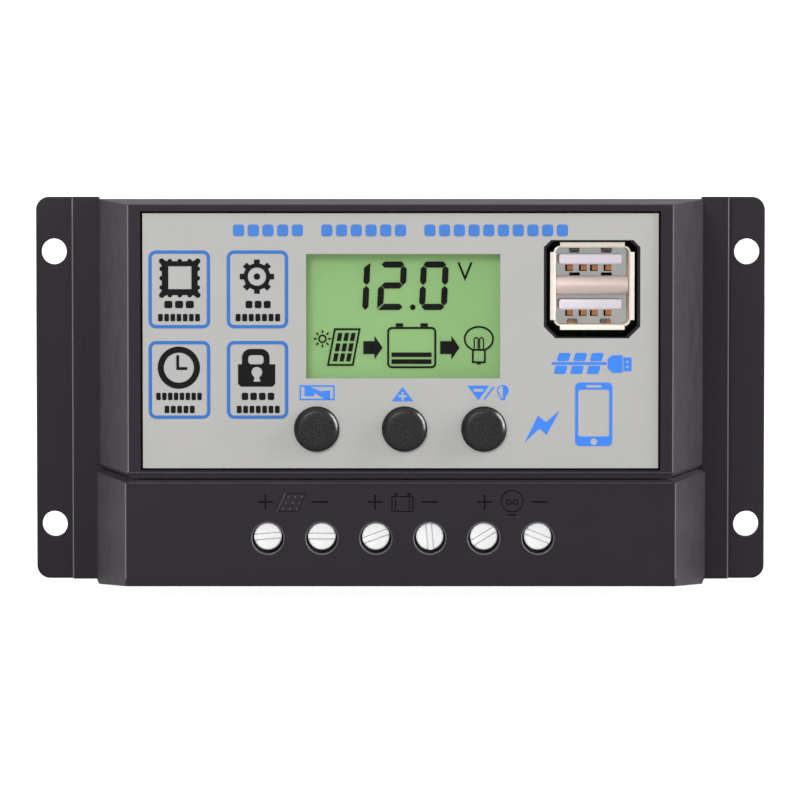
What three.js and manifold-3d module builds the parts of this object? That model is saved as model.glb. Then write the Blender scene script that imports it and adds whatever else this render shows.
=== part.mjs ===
// Solar charge controller that screws flat onto a wall or panel.
// Millimetres. +Z is up, the front faces -Y, and the origin is the centre of the base plate's back face.
// "Height" always means the distance in front of that back face, so a height h lies at y = -h.
import * as THREE from 'three';
import { mergeVertices } from 'three/addons/utils/BufferGeometryUtils.js';
import Module from 'manifold-3d';

const wasm = await Module();
wasm.setup();

// ---------------------------------------------------------------- driving dimensions

const plate = {
  width: 133.5,
  length: 70,
  cornerRadius: 2.4,
  earThickness: 2.4,
  thickness: 4,
  stepX: 60, // where the thick middle steps down to the ears
  stepRun: 0.7,
  trimHalfX: 55.2, // the top edge is cut back here, flush with the upper cover
  trimZ: 34.6,
  holeX: 63.5,
  holeZ: 25,
  holeRadius: 2.35,
  channelX: 26, // relief channels along the back
  channelHalfWidth: 12,
  channelDepth: 0.6,
};

const frontHeight = 34; // both covers' front faces
const baseHeight = plate.thickness;
const coverWall = 2;
const coverFrontWall = 2.4;
const cavityOverrun = 1; // how far a cutting solid runs past the face it opens

// Half-widths and end faces at the base and at the front; the walls between them lean inwards.
const upperCover = { baseX: 55.3, frontX: 47.9, baseEndZ: 34.6, frontEndZ: 33.45, seamZ: -13.8, lipZ: -14.65 };
const terminalCover = { baseX: 55.8, frontX: 48.4, baseEndZ: -35.9, frontEndZ: -33.7, seamZ: -15.4, lipZ: -14.95 };
const cornerCut = { x: 0.85, z: 1.25 }; // off the bottom corners of the terminal cover
const lipInset = 1; // depth of the seam groove
const tongue = { outerInset: 2.75, innerInset: 3.9, topZ: -11.5, rootZ: -17.8, rootTopZ: -15.7, lowHeight: 6 };

const pocket = { halfX: 45.7, lowZ: -13.3, highZ: 32.25, depth: 0.6 };
const label = { halfX: 45.3, lowZ: -12.9, highZ: 31.9, thickness: 0.3 };

const windowOpening = { lowX: -16.6, highX: 17.5, lowZ: 2.9, highZ: 24.75, coverMargin: 0.25 };

const button = {
  x: { mode: -14.75, up: 0.7, down: 14.65 },
  z: -6,
  radius: 3.85,
  topRadius: 3.4,
  topHeight: 35,
  edgeHeight: 34.45,
  flangeRadius: 4.7,
  flangeHeights: [30.2, 31.1],
  holeRadius: 3.97,
};
const pushSwitch = { side: 6, height: 3.5, boreRadius: 2.05, boreDepth: 1.4, plungerRadius: 1.75, plungerInset: 0.6 };

const board = { halfX: 48.3, lowZ: -31.8, highZ: 31.2, thickness: 1.6, topHeight: 13 };

const usbOpening = {
  lowX: 25.15,
  highX: 42.1,
  lowZ: 9.95,
  highZ: 27.2,
  lowChamfer: 2.05,
  highChamfer: 1.25,
  insetX: 0.45,
  insetZ: 0.2,
};
const usb = {
  lowX: 26.95,
  highX: 40.5,
  lowZ: 12.05,
  highZ: 26.2,
  sheet: 0.35,
  frontHeight: 32.3,
  cornerRadius: 1.2,
  lipReach: 0.65,
  lipRise: 1,
  lipEndGap: 1.1,
  socketDepth: 9.5, // from the front edge to the insulator's back block
  tongueLowX: 27.9,
  tongueHighX: 39.2,
  tongueZ: [[14.9, 16.8], [22.9, 24.8]],
  tongueFront: 31.6,
  dividerZ: [17.55, 20.85],
  dividerFront: 32.1,
  fitGap: 0.05,
};

const displayCentre = { x: 0.45, z: 13.8 };
const displayHalf = { x: 19, z: 13 };
const displayHeights = { frontGlass: 31.5, backGlass: 29.1, backlightBack: 25.8 };
const displaySupport = { x: 16.5, width: 3, halfLength: 10 };
const pinHeader = { count: 12, pitch: 2.54, z: 27.7, stripHalf: 1.1, stripHeight: 2.5, pinHalf: 0.25, pinTop: 30 };

const terminals = ['solar', 'battery', 'load'];
const poles = ['plus', 'minus'];
const terminalPitch = 9.5;
const terminalCentreX = 0.4;
const terminalZ = -24.9;
const accessHole = { radius: 2.95, drop: 0.3 };
// How each screw's slot stands, in degrees anticlockwise from level as seen from the front.
const slotAngles = [5, 0, 20, 95, 32, -22];

const block = { halfX: 9.3, lowZ: -31.4, highZ: -18.4, topHeight: 31.4, roofHeight: 28.6, floorHeight: 13.9 };
const chamber = { halfX: 3.7, backZ: -19.2 };
const clamp = {
  halfX: 3.5,
  wall: 1.1,
  roof: 1.7,
  lowZ: -28.9,
  highZ: -20.9,
  heights: [14.1, 24.1],
  boreRadius: 2.15,
};
const currentBar = { halfX: 2.2, heights: [19.8, 21], lowZ: -30.6, legZ: [-20.6, -19.4], slotGap: 0.2 };
const terminalScrew = {
  headRadius: 2.42,
  rimRadius: 2.15,
  headHeights: [30.6, 33.4],
  rimDrop: 0.3,
  shaftRadius: 2,
  tipHeight: 21.1,
  slotWidth: 0.95,
  slotDepth: 0.8,
  collarRadius: 2.3,
  wellRadius: 2.6,
  wellFloor: 30.4,
};
const wireEntry = { halfX: 3.6, heights: [14.3, 23.2] };

const coverFixing = { x: 44, z: 28.5, bossRadius: 2.8, boreRadius: 1.6, boreTop: 25 };
const coverScrew = { shaftRadius: 1.5, headRadius: 2.8, headDrop: 0.2, headLength: 1.5, length: 22, clearance: 0.2 };
const spacerRadius = 3;

const ratingLabel = { x: plate.channelX, halfX: 10, halfZ: 23, thickness: 0.15 };

const inputCapacitor = { x: -34, z: 18, radius: 6.25, length: 16.5 };
const usbCapacitor = { x: 34, z: 3.5, radius: 4, length: 11.5 };
const inductor = { x: 35, z: -5.5, radius: 4.4, waist: 3.2, length: 5.5, rim: 1.2 };
const chip = { x: -33, z: -2, half: 5, thickness: 1.6, chamfer: 0.6 };
const transistor = { z: 9, halfX: 5, tabThickness: 1.3, tabHalfZ: 7.8, bodyHalfZ: 4.6, thickness: 4.5, leadPitch: 2.54 };

const fine = 32; // facets round a visible circle
const coarse = 16; // facets round a hidden or small circle

// ---------------------------------------------------------------- shape helpers

// A closed three.js geometry as a manifold solid, turned the right way out.
function solid(geometry) {
  const bare = geometry.clone();
  bare.deleteAttribute('normal');
  bare.deleteAttribute('uv');
  const merged = mergeVertices(bare, 1e-4);
  const vertProperties = new Float32Array(merged.attributes.position.array);
  const triVerts = new Uint32Array(merged.index.array);
  const made = new wasm.Manifold(new wasm.Mesh({ numProp: 3, vertProperties, triVerts }));
  if (made.volume() > 0) {
    return made;
  }
  triVerts.reverse();
  return new wasm.Manifold(new wasm.Mesh({ numProp: 3, vertProperties, triVerts }));
}

function geometryOf(manifold) {
  const { vertProperties, triVerts } = manifold.getMesh();
  const geometry = new THREE.BufferGeometry();
  geometry.setAttribute('position', new THREE.BufferAttribute(new Float32Array(vertProperties), 3));
  geometry.setIndex(new THREE.BufferAttribute(new Uint32Array(triVerts), 1));
  geometry.computeVertexNormals();
  return geometry;
}

const join = (first, ...others) => others.reduce((sum, other) => sum.add(other), first);
const cut = (first, ...tools) => tools.reduce((rest, tool) => rest.subtract(tool), first);

// A box between two x's, two heights and two z's.
function cuboid([lowX, highX], [lowHeight, highHeight], [lowZ, highZ]) {
  const geometry = new THREE.BoxGeometry(highX - lowX, highHeight - lowHeight, highZ - lowZ);
  geometry.translate((lowX + highX) / 2, -(lowHeight + highHeight) / 2, (lowZ + highZ) / 2);
  return solid(geometry);
}

// A cylinder or cone standing forward from the back, between two heights.
function post(x, z, [lowHeight, highHeight], radius, facets = coarse, frontRadius = radius) {
  const geometry = new THREE.CylinderGeometry(radius, frontRadius, highHeight - lowHeight, facets);
  geometry.translate(x, -(lowHeight + highHeight) / 2, z);
  return solid(geometry);
}

// A profile of [radius, height] pairs turned about a forward axis.
function turned(x, z, profile, facets = coarse) {
  const points = profile.map(([radius, height]) => new THREE.Vector2(radius, -height));
  return solid(new THREE.LatheGeometry(points, facets).translate(x, 0, z));
}

// A flat outline seen from the front, in x and z, pushed forward between two heights.
function slab(outline, [lowHeight, highHeight]) {
  const settings = { depth: highHeight - lowHeight, bevelEnabled: false, curveSegments: 6 };
  const geometry = new THREE.ExtrudeGeometry(outline, settings);
  return solid(geometry.translate(0, 0, lowHeight).rotateX(Math.PI / 2));
}

function roundedRectangle([lowX, highX], [lowZ, highZ], radius) {
  const outline = new THREE.Shape();
  outline.absarc(highX - radius, highZ - radius, radius, 0, Math.PI / 2);
  outline.absarc(lowX + radius, highZ - radius, radius, Math.PI / 2, Math.PI);
  outline.absarc(lowX + radius, lowZ + radius, radius, Math.PI, 1.5 * Math.PI);
  outline.absarc(highX - radius, lowZ + radius, radius, 1.5 * Math.PI, 2 * Math.PI);
  outline.closePath();
  return outline;
}

function chamferedRectangle([lowX, highX], [lowZ, highZ], lowChamfer, highChamfer = lowChamfer) {
  const outline = new THREE.Shape();
  outline.moveTo(lowX + lowChamfer, lowZ);
  outline.lineTo(highX - lowChamfer, lowZ);
  outline.lineTo(highX, lowZ + lowChamfer);
  outline.lineTo(highX, highZ - highChamfer);
  outline.lineTo(highX - highChamfer, highZ);
  outline.lineTo(lowX + highChamfer, highZ);
  outline.lineTo(lowX, highZ - highChamfer);
  outline.lineTo(lowX, lowZ + lowChamfer);
  outline.closePath();
  return outline;
}

// A solid skinned over rings of corners, each ring with the same number of corners, closed at both ends.
function loft(rings) {
  const corners = rings[0].length;
  const index = [];
  for (let ring = 0; ring < rings.length - 1; ring += 1) {
    for (let corner = 0; corner < corners; corner += 1) {
      const here = ring * corners + corner;
      const next = ring * corners + ((corner + 1) % corners);
      index.push(here, next, here + corners, next, next + corners, here + corners);
    }
  }
  const last = (rings.length - 1) * corners;
  for (let corner = 1; corner < corners - 1; corner += 1) {
    index.push(0, corner + 1, corner);
    index.push(last, last + corner, last + corner + 1);
  }
  const geometry = new THREE.BufferGeometry();
  geometry.setAttribute('position', new THREE.Float32BufferAttribute(rings.flat(2), 3));
  geometry.setIndex(index);
  return solid(geometry);
}

// ---------------------------------------------------------------- materials and the group

const controller = new THREE.Group();

function place(name, shape, color, roughness, metalness = 0) {
  const material = new THREE.MeshStandardMaterial({ color, roughness, metalness });
  const mesh = new THREE.Mesh(geometryOf(shape), material);
  mesh.name = name;
  controller.add(mesh);
}

const caseBlack = 0x352e34;
const partBlack = 0x1c1c1e;
const tin = 0xd8d8da;

// ---------------------------------------------------------------- base plate

const fixings = [];
for (const z of [coverFixing.z, -coverFixing.z]) {
  for (const x of [-coverFixing.x, coverFixing.x]) {
    fixings.push({ x, z });
  }
}

function makeBasePlate() {
  const section = new THREE.Shape();
  const halfWidth = plate.width / 2;
  section.moveTo(-halfWidth, 0);
  section.lineTo(-halfWidth, -plate.earThickness);
  section.lineTo(-plate.stepX - plate.stepRun, -plate.earThickness);
  section.lineTo(-plate.stepX, -plate.thickness);
  section.lineTo(plate.stepX, -plate.thickness);
  section.lineTo(plate.stepX + plate.stepRun, -plate.earThickness);
  section.lineTo(halfWidth, -plate.earThickness);
  section.lineTo(halfWidth, 0);
  section.closePath();
  const extrusion = new THREE.ExtrudeGeometry(section, { depth: plate.length, bevelEnabled: false });
  extrusion.translate(0, 0, -plate.length / 2);
  const halfLength = plate.length / 2;
  const outline = roundedRectangle([-halfWidth, halfWidth], [-halfLength, halfLength], plate.cornerRadius);
  const trim = cuboid([-plate.trimHalfX, plate.trimHalfX], [-1, plate.thickness + 1], [plate.trimZ, plate.length]);
  let body = cut(solid(extrusion).intersect(slab(outline, [-1, plate.thickness + 1])), trim);
  for (const side of [-1, 1]) {
    const middle = side * plate.channelX;
    const across = [middle - plate.channelHalfWidth, middle + plate.channelHalfWidth];
    body = cut(body, cuboid(across, [-1, plate.channelDepth], [-halfLength - 1, halfLength + 1]));
    for (const z of [-plate.holeZ, plate.holeZ]) {
      body = cut(body, post(side * plate.holeX, z, [-1, plate.thickness], plate.holeRadius, fine));
    }
  }
  const { shaftRadius, headRadius, headDrop, headLength, clearance } = coverScrew;
  for (const { x, z } of fixings) {
    const bore = post(x, z, [-1, plate.thickness + 1], shaftRadius + clearance, fine);
    const mouth = post(x, z, [-1, headDrop], headRadius + clearance, fine);
    const sink = [headDrop, headDrop + headLength];
    const cone = post(x, z, sink, headRadius + clearance, fine, shaftRadius + clearance);
    body = cut(body, bore, mouth, cone);
  }
  return body;
}

place('base_plate', makeBasePlate(), 0x332e33, 0.45, 0.6);

// ---------------------------------------------------------------- covers

const baseToFront = frontHeight - baseHeight;
const along = (base, front, height) => base + ((front - base) * (height - baseHeight)) / baseToFront;

// The four corners of a cover's section: z is a number, or 'end' for the sloping end wall.
function coverRing(cover, inset, lowHeight, highHeight, z) {
  const inward = Math.sign(cover.baseEndZ);
  const corner = (side, height) => {
    const x = side * (along(cover.baseX, cover.frontX, height) - inset);
    const endZ = along(cover.baseEndZ, cover.frontEndZ, height) - inward * inset;
    return [x, -height, z === 'end' ? endZ : z];
  };
  return [corner(-1, lowHeight), corner(-1, highHeight), corner(1, highHeight), corner(1, lowHeight)];
}

// A cover's wedge-sided shell, open at the back and at the seam, with its lip sloped into the seam groove.
function coverShell(cover) {
  const outside = loft([
    coverRing(cover, lipInset, baseHeight, frontHeight - lipInset, cover.lipZ),
    coverRing(cover, 0, baseHeight, frontHeight, cover.seamZ),
    coverRing(cover, 0, baseHeight, frontHeight, 'end'),
  ]);
  const openHeight = baseHeight - cavityOverrun;
  const innerFront = frontHeight - coverFrontWall;
  const openZ = cover.lipZ - Math.sign(cover.baseEndZ) * cavityOverrun;
  const inside = loft([
    coverRing(cover, coverWall, openHeight, innerFront, openZ),
    coverRing(cover, coverWall, openHeight, innerFront, 'end'),
  ]);
  return cut(outside, inside);
}

// The screw bosses that reach from the front wall back to the circuit board.
function withBosses(shell, z) {
  const reach = [board.topHeight, frontHeight - coverFrontWall + 0.5];
  return [-coverFixing.x, coverFixing.x].reduce((body, x) => {
    const bore = post(x, z, [board.topHeight - 1, coverFixing.boreTop], coverFixing.boreRadius);
    return cut(join(body, post(x, z, reach, coverFixing.bossRadius)), bore);
  }, shell);
}

const throughFront = [frontHeight - coverFrontWall - cavityOverrun, frontHeight + cavityOverrun];

function makeUpperCover() {
  const { halfX, lowZ, highZ, depth } = pocket;
  const recess = cuboid([-halfX, halfX], [frontHeight - depth, frontHeight + 1], [lowZ, highZ]);
  const { lowX, highX, coverMargin } = windowOpening;
  const view = cuboid(
    [lowX - coverMargin, highX + coverMargin],
    throughFront,
    [windowOpening.lowZ - coverMargin, windowOpening.highZ + coverMargin],
  );
  const { insetX, insetZ, lowChamfer, highChamfer } = usbOpening;
  const usbOutline = chamferedRectangle(
    [usbOpening.lowX + insetX, usbOpening.highX - insetX],
    [usbOpening.lowZ + insetZ, usbOpening.highZ - insetZ],
    lowChamfer,
    highChamfer,
  );
  const buttonHoles = Object.values(button.x).map((x) => post(x, button.z, throughFront, button.holeRadius, fine));
  const body = withBosses(coverShell(upperCover), coverFixing.z);
  return cut(body, recess, view, slab(usbOutline, throughFront), ...buttonHoles);
}

// The six terminals, in order from the left.
const ways = [];
for (const terminal of terminals) {
  for (const pole of poles) {
    const number = ways.length;
    const x = terminalCentreX + (number - (terminals.length * poles.length - 1) / 2) * terminalPitch;
    ways.push({ name: `${terminal}_${pole}`, x, slotAngle: slotAngles[number] });
  }
}

// A wedge that takes the bottom corner off the terminal cover on one side.
function cornerWedge(side) {
  const { baseX, baseEndZ } = terminalCover;
  const outline = new THREE.Shape();
  outline.moveTo(side * (baseX - 2 * cornerCut.x), baseEndZ - cornerCut.z);
  outline.lineTo(side * (baseX + cornerCut.x), baseEndZ - cornerCut.z);
  outline.lineTo(side * (baseX + cornerCut.x), baseEndZ + 2 * cornerCut.z);
  outline.closePath();
  return slab(outline, [0, frontHeight]);
}

function makeTerminalCover() {
  const innerFront = frontHeight - coverFrontWall;
  const { outerInset, innerInset, topZ, rootZ, rootTopZ, lowHeight } = tongue;
  const hollowTop = innerFront - innerInset + outerInset;
  const hollow = loft([
    coverRing(terminalCover, innerInset, 0, hollowTop, rootZ - 1),
    coverRing(terminalCover, innerInset, 0, hollowTop, topZ + 1),
  ]);
  const strip = loft([
    coverRing(terminalCover, outerInset, lowHeight, innerFront - 0.2, rootZ),
    coverRing(terminalCover, outerInset, lowHeight, innerFront - 0.2, topZ),
  ]);
  const root = loft([
    coverRing(terminalCover, lipInset, lowHeight, innerFront + 0.5, rootZ),
    coverRing(terminalCover, lipInset, lowHeight, innerFront + 0.5, rootTopZ),
  ]);
  let body = join(coverShell(terminalCover), cut(join(strip, root), hollow));
  body = withBosses(body, -coverFixing.z);
  const bottom = [terminalCover.baseEndZ - 1, terminalCover.frontEndZ + coverWall + 1];
  for (const { x } of ways) {
    const access = post(x, terminalZ - accessHole.drop, throughFront, accessHole.radius, fine);
    const entry = cuboid([x - wireEntry.halfX, x + wireEntry.halfX], wireEntry.heights, bottom);
    body = cut(body, access, entry);
  }
  return cut(body, cornerWedge(-1), cornerWedge(1));
}

place('upper_cover', makeUpperCover(), caseBlack, 0.5);
place('terminal_cover', makeTerminalCover(), caseBlack, 0.5);

// ---------------------------------------------------------------- printed labels

function makeFrontLabel() {
  const back = frontHeight - pocket.depth;
  const heights = [back, back + label.thickness];
  const through = [back - 1, frontHeight + 1];
  const sheet = cuboid([-label.halfX, label.halfX], heights, [label.lowZ, label.highZ]);
  const { lowX, highX, lowZ, highZ } = windowOpening;
  const usbOutline = chamferedRectangle(
    [usbOpening.lowX, usbOpening.highX],
    [usbOpening.lowZ, usbOpening.highZ],
    usbOpening.lowChamfer,
    usbOpening.highChamfer,
  );
  const holes = Object.values(button.x).map((x) => post(x, button.z, through, button.holeRadius, fine));
  return cut(sheet, cuboid([lowX, highX], through, [lowZ, highZ]), slab(usbOutline, through), ...holes);
}

function makeRatingLabel() {
  const { x, halfX, halfZ, thickness } = ratingLabel;
  const heights = [plate.channelDepth - thickness, plate.channelDepth];
  return slab(roundedRectangle([x - halfX, x + halfX], [-halfZ, halfZ], 1), heights);
}

place('front_label', makeFrontLabel(), 0xc0bfbc, 0.5);
place('rating_label', makeRatingLabel(), 0xc9cacb, 0.5);

// ---------------------------------------------------------------- circuit board and its fixings

function makeBoard() {
  const heights = [board.topHeight - board.thickness, board.topHeight];
  const sheet = cuboid([-board.halfX, board.halfX], heights, [board.lowZ, board.highZ]);
  const holes = fixings.map(({ x, z }) => post(x, z, [0, frontHeight], coverScrew.shaftRadius + coverScrew.clearance));
  return cut(sheet, ...holes);
}

function makeSpacer({ x, z }) {
  const heights = [baseHeight, board.topHeight - board.thickness];
  return cut(post(x, z, heights, spacerRadius), post(x, z, [0, frontHeight], coverFixing.boreRadius));
}

// A countersunk screw with a cross recess, driven forward from the back of the plate.
function makeCoverScrew({ x, z }) {
  const { shaftRadius, headRadius, headDrop, headLength, length } = coverScrew;
  const tip = 1;
  const body = turned(x, z, [
    [0, headDrop],
    [headRadius, headDrop],
    [shaftRadius, headDrop + headLength],
    [shaftRadius, headDrop + length - tip],
    [shaftRadius / 2, headDrop + length],
    [0, headDrop + length],
  ], fine);
  const long = 1.6;
  const narrow = 0.4;
  const recess = [headDrop - 1, headDrop + headLength * 0.7];
  const bars = [[long, narrow], [narrow, long]].map(([halfX, halfZ]) =>
    cuboid([x - halfX, x + halfX], recess, [z - halfZ, z + halfZ]));
  return cut(body, ...bars);
}

place('main_pcb', makeBoard(), 0x1d5a34, 0.5);
fixings.forEach((fixing, number) => {
  place(`pcb_spacer_${number + 1}`, makeSpacer(fixing), 0xe6e3da, 0.6);
  place(`cover_screw_${number + 1}`, makeCoverScrew(fixing), 0x9a9a9c, 0.35, 1);
});

// ---------------------------------------------------------------- display

function makeDisplayLayer(heights) {
  const { x, z } = displayCentre;
  return cuboid([x - displayHalf.x, x + displayHalf.x], heights, [z - displayHalf.z, z + displayHalf.z]);
}

function makeDisplaySupport(side) {
  const { x, width, halfLength } = displaySupport;
  const middle = displayCentre.x + side * x;
  const heights = [board.topHeight, displayHeights.backlightBack];
  const across = [middle - width / 2, middle + width / 2];
  return cuboid(across, heights, [displayCentre.z - halfLength, displayCentre.z + halfLength]);
}

// A row of pins through one plastic strip.
function makePinHeader() {
  const { count, pitch, z, stripHalf, stripHeight, pinHalf, pinTop } = pinHeader;
  const halfRow = (count * pitch) / 2;
  const acrossStrip = [displayCentre.x - halfRow, displayCentre.x + halfRow];
  const stripHeights = [board.topHeight, board.topHeight + stripHeight];
  let body = cuboid(acrossStrip, stripHeights, [z - stripHalf, z + stripHalf]);
  for (let pin = 0; pin < count; pin += 1) {
    const x = displayCentre.x + (pin - (count - 1) / 2) * pitch;
    body = join(body, cuboid([x - pinHalf, x + pinHalf], [board.topHeight, pinTop], [z - pinHalf, z + pinHalf]));
  }
  return body;
}

place('lcd_glass', makeDisplayLayer([displayHeights.backGlass, displayHeights.frontGlass]), 0x90bc7d, 0.25);
place('lcd_backlight', makeDisplayLayer([displayHeights.backlightBack, displayHeights.backGlass]), 0xe9efe2, 0.5);
place('lcd_support_left', makeDisplaySupport(-1), 0x2a2a2c, 0.6);
place('lcd_support_right', makeDisplaySupport(1), 0x2a2a2c, 0.6);
place('lcd_pin_header', makePinHeader(), 0x232325, 0.5);

// ---------------------------------------------------------------- buttons and their switches

function makeButton(x) {
  const [flangeBack, flangeFront] = button.flangeHeights;
  return turned(x, button.z, [
    [0, flangeBack],
    [button.flangeRadius, flangeBack],
    [button.flangeRadius, flangeFront],
    [button.radius, flangeFront],
    [button.radius, button.edgeHeight],
    [(button.radius + button.topRadius) / 2 + 0.1, button.edgeHeight + 0.35],
    [button.topRadius, button.topHeight],
    [0, button.topHeight],
  ], fine);
}

function makeSwitch(x) {
  const half = pushSwitch.side / 2;
  const top = board.topHeight + pushSwitch.height;
  const body = cuboid([x - half, x + half], [board.topHeight, top], [button.z - half, button.z + half]);
  return cut(body, post(x, button.z, [top - pushSwitch.boreDepth, top + 1], pushSwitch.boreRadius));
}

function makePlunger(x) {
  const foot = board.topHeight + pushSwitch.height - pushSwitch.plungerInset;
  return post(x, button.z, [foot, button.flangeHeights[0]], pushSwitch.plungerRadius);
}

for (const [name, x] of Object.entries(button.x)) {
  place(`${name}_button`, makeButton(x), 0x2d2d2b, 0.7);
  place(`${name}_switch`, makeSwitch(x), partBlack, 0.5);
  place(`${name}_plunger`, makePlunger(x), 0x3a3a3c, 0.5);
}

// ---------------------------------------------------------------- stacked USB outlet

// One flared lip: a strip of sheet that leans outwards from the shell's front edge.
// The edge runs from start to end, and outward is the way it leans, all in [x, z].
function makeLip(start, end, outward) {
  const { sheet, frontHeight: root, lipReach, lipRise } = usb;
  const section = ([x, z]) => {
    const at = (out, height) => [x + outward[0] * out, -height, z + outward[1] * out];
    return [at(-sheet, root - 1), at(0, root - 1), at(0, root), at(lipReach, root + lipRise),
      at(lipReach - sheet, root + lipRise + 0.2), at(-sheet, root + 0.1)];
  };
  return loft([section(start), section(end)]);
}

function makeUsbShell() {
  const { lowX, highX, lowZ, highZ, sheet, lipEndGap, cornerRadius } = usb;
  const heights = [board.topHeight, usb.frontHeight];
  const outside = slab(roundedRectangle([lowX, highX], [lowZ, highZ], cornerRadius), heights);
  const innerX = [lowX + sheet, highX - sheet];
  const innerZ = [lowZ + sheet, highZ - sheet];
  const hollow = slab(roundedRectangle(innerX, innerZ, cornerRadius - sheet), [board.topHeight - 1, frontHeight]);
  const fromX = lowX + lipEndGap;
  const toX = highX - lipEndGap;
  const fromZ = lowZ + lipEndGap;
  const toZ = highZ - lipEndGap;
  const lips = [
    makeLip([fromX, highZ], [toX, highZ], [0, 1]),
    makeLip([fromX, lowZ], [toX, lowZ], [0, -1]),
    makeLip([lowX, fromZ], [lowX, toZ], [-1, 0]),
    makeLip([highX, fromZ], [highX, toZ], [1, 0]),
  ];
  return join(cut(outside, hollow), ...lips);
}

function makeUsbInsulator() {
  const { lowX, highX, lowZ, highZ, sheet, fitGap, cornerRadius } = usb;
  const inset = sheet + fitGap;
  const outline = roundedRectangle([lowX + inset, highX - inset], [lowZ + inset, highZ - inset], cornerRadius - sheet);
  const blockFront = usb.frontHeight - usb.socketDepth;
  const back = slab(outline, [board.topHeight, blockFront]);
  const across = [usb.tongueLowX, usb.tongueHighX];
  const tongues = usb.tongueZ.map((z) => cuboid(across, [blockFront - 1, usb.tongueFront], z));
  return join(back, ...tongues);
}

function makeUsbDivider() {
  const inset = usb.sheet + usb.fitGap;
  const heights = [usb.frontHeight - usb.socketDepth, usb.dividerFront];
  return cuboid([usb.lowX + inset, usb.highX - inset], heights, usb.dividerZ);
}

place('usb_shell', makeUsbShell(), 0xe9e2da, 0.3, 0.9);
place('usb_insulator', makeUsbInsulator(), 0xd9d2dc, 0.5);
place('usb_divider', makeUsbDivider(), 0xcabab4, 0.4);

// ---------------------------------------------------------------- terminals

function makeTerminalBlock(middleX, blockWays) {
  const across = [middleX - block.halfX, middleX + block.halfX];
  let body = cuboid(across, [board.topHeight, block.topHeight], [block.lowZ, block.highZ]);
  for (const { x } of blockWays) {
    const chamberAcross = [x - chamber.halfX, x + chamber.halfX];
    const room = cuboid(chamberAcross, [block.floorHeight, block.roofHeight], [block.lowZ - 1, chamber.backZ]);
    const collar = post(x, terminalZ, [block.roofHeight - 1, block.topHeight + 1], terminalScrew.collarRadius);
    const well = post(x, terminalZ, [terminalScrew.wellFloor, block.topHeight + 1], terminalScrew.wellRadius);
    const [legBack, legFront] = currentBar.legZ;
    const { halfX, slotGap } = currentBar;
    const slotAcross = [x - halfX - slotGap, x + halfX + slotGap];
    const slot = cuboid(slotAcross, [0, block.floorHeight + 1], [legBack - slotGap, legFront + slotGap]);
    body = cut(body, room, collar, well, slot);
  }
  return body;
}

// The cage that rises round the wire as its screw turns.
function makeClamp(x) {
  const [low, high] = clamp.heights;
  const { halfX, wall, roof, lowZ, highZ } = clamp;
  const body = cuboid([x - halfX, x + halfX], [low, high], [lowZ, highZ]);
  const room = cuboid([x - halfX + wall, x + halfX - wall], [low + wall, high - roof], [lowZ - 1, highZ + 1]);
  return cut(body, room, post(x, terminalZ, [high - roof - 1, high + 1], clamp.boreRadius));
}

function makeCurrentBar(x) {
  const [low, high] = currentBar.heights;
  const across = [x - currentBar.halfX, x + currentBar.halfX];
  const [, legFront] = currentBar.legZ;
  const flat = cuboid(across, [low, high], [currentBar.lowZ, legFront]);
  return join(flat, cuboid(across, [board.topHeight, high], currentBar.legZ));
}

function makeTerminalScrew({ x, slotAngle }) {
  const { headRadius, rimRadius, headHeights, rimDrop, shaftRadius, tipHeight, slotWidth, slotDepth } = terminalScrew;
  const [headBack, headFront] = headHeights;
  const body = turned(x, terminalZ, [
    [0, tipHeight],
    [shaftRadius * 0.6, tipHeight],
    [shaftRadius, tipHeight + 1],
    [shaftRadius, headBack],
    [headRadius, headBack],
    [headRadius, headFront - rimDrop],
    [rimRadius, headFront],
    [0, headFront],
  ], fine);
  const bar = new THREE.BoxGeometry(headRadius * 3, slotDepth * 2, slotWidth);
  bar.rotateY(-THREE.MathUtils.degToRad(slotAngle));
  bar.translate(x, -headFront, terminalZ);
  return cut(body, solid(bar));
}

terminals.forEach((terminal, number) => {
  const blockWays = ways.slice(number * poles.length, (number + 1) * poles.length);
  const middleX = (blockWays[0].x + blockWays[1].x) / 2;
  place(`${terminal}_terminal_block`, makeTerminalBlock(middleX, blockWays), 0x1c1c1d, 0.55);
});
for (const way of ways) {
  place(`${way.name}_screw`, makeTerminalScrew(way), tin, 0.3, 1);
  place(`${way.name}_clamp`, makeClamp(way.x), 0xc9c9c4, 0.35, 1);
  place(`${way.name}_bar`, makeCurrentBar(way.x), 0xc98a4b, 0.35, 1);
}

// ---------------------------------------------------------------- parts on the board and plate

// A can capacitor with the rolled groove near its foot.
function makeCapacitor({ x, z, radius, length }) {
  const foot = board.topHeight;
  const groove = foot + 2.2;
  return turned(x, z, [
    [0, foot],
    [radius, foot],
    [radius, groove - 0.7],
    [radius - 0.5, groove],
    [radius, groove + 0.7],
    [radius, foot + length - 0.5],
    [radius - 0.5, foot + length],
    [0, foot + length],
  ]);
}

function makeInductor() {
  const { x, z, radius, waist, length, rim } = inductor;
  const foot = board.topHeight;
  return turned(x, z, [
    [0, foot],
    [radius, foot],
    [radius, foot + rim],
    [waist, foot + rim],
    [waist, foot + length - rim],
    [radius, foot + length - rim],
    [radius, foot + length],
    [0, foot + length],
  ]);
}

function makeChip() {
  const { x, z, half, thickness, chamfer } = chip;
  const outline = chamferedRectangle([x - half, x + half], [z - half, z + half], chamfer);
  return slab(outline, [board.topHeight, board.topHeight + thickness]);
}

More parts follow.
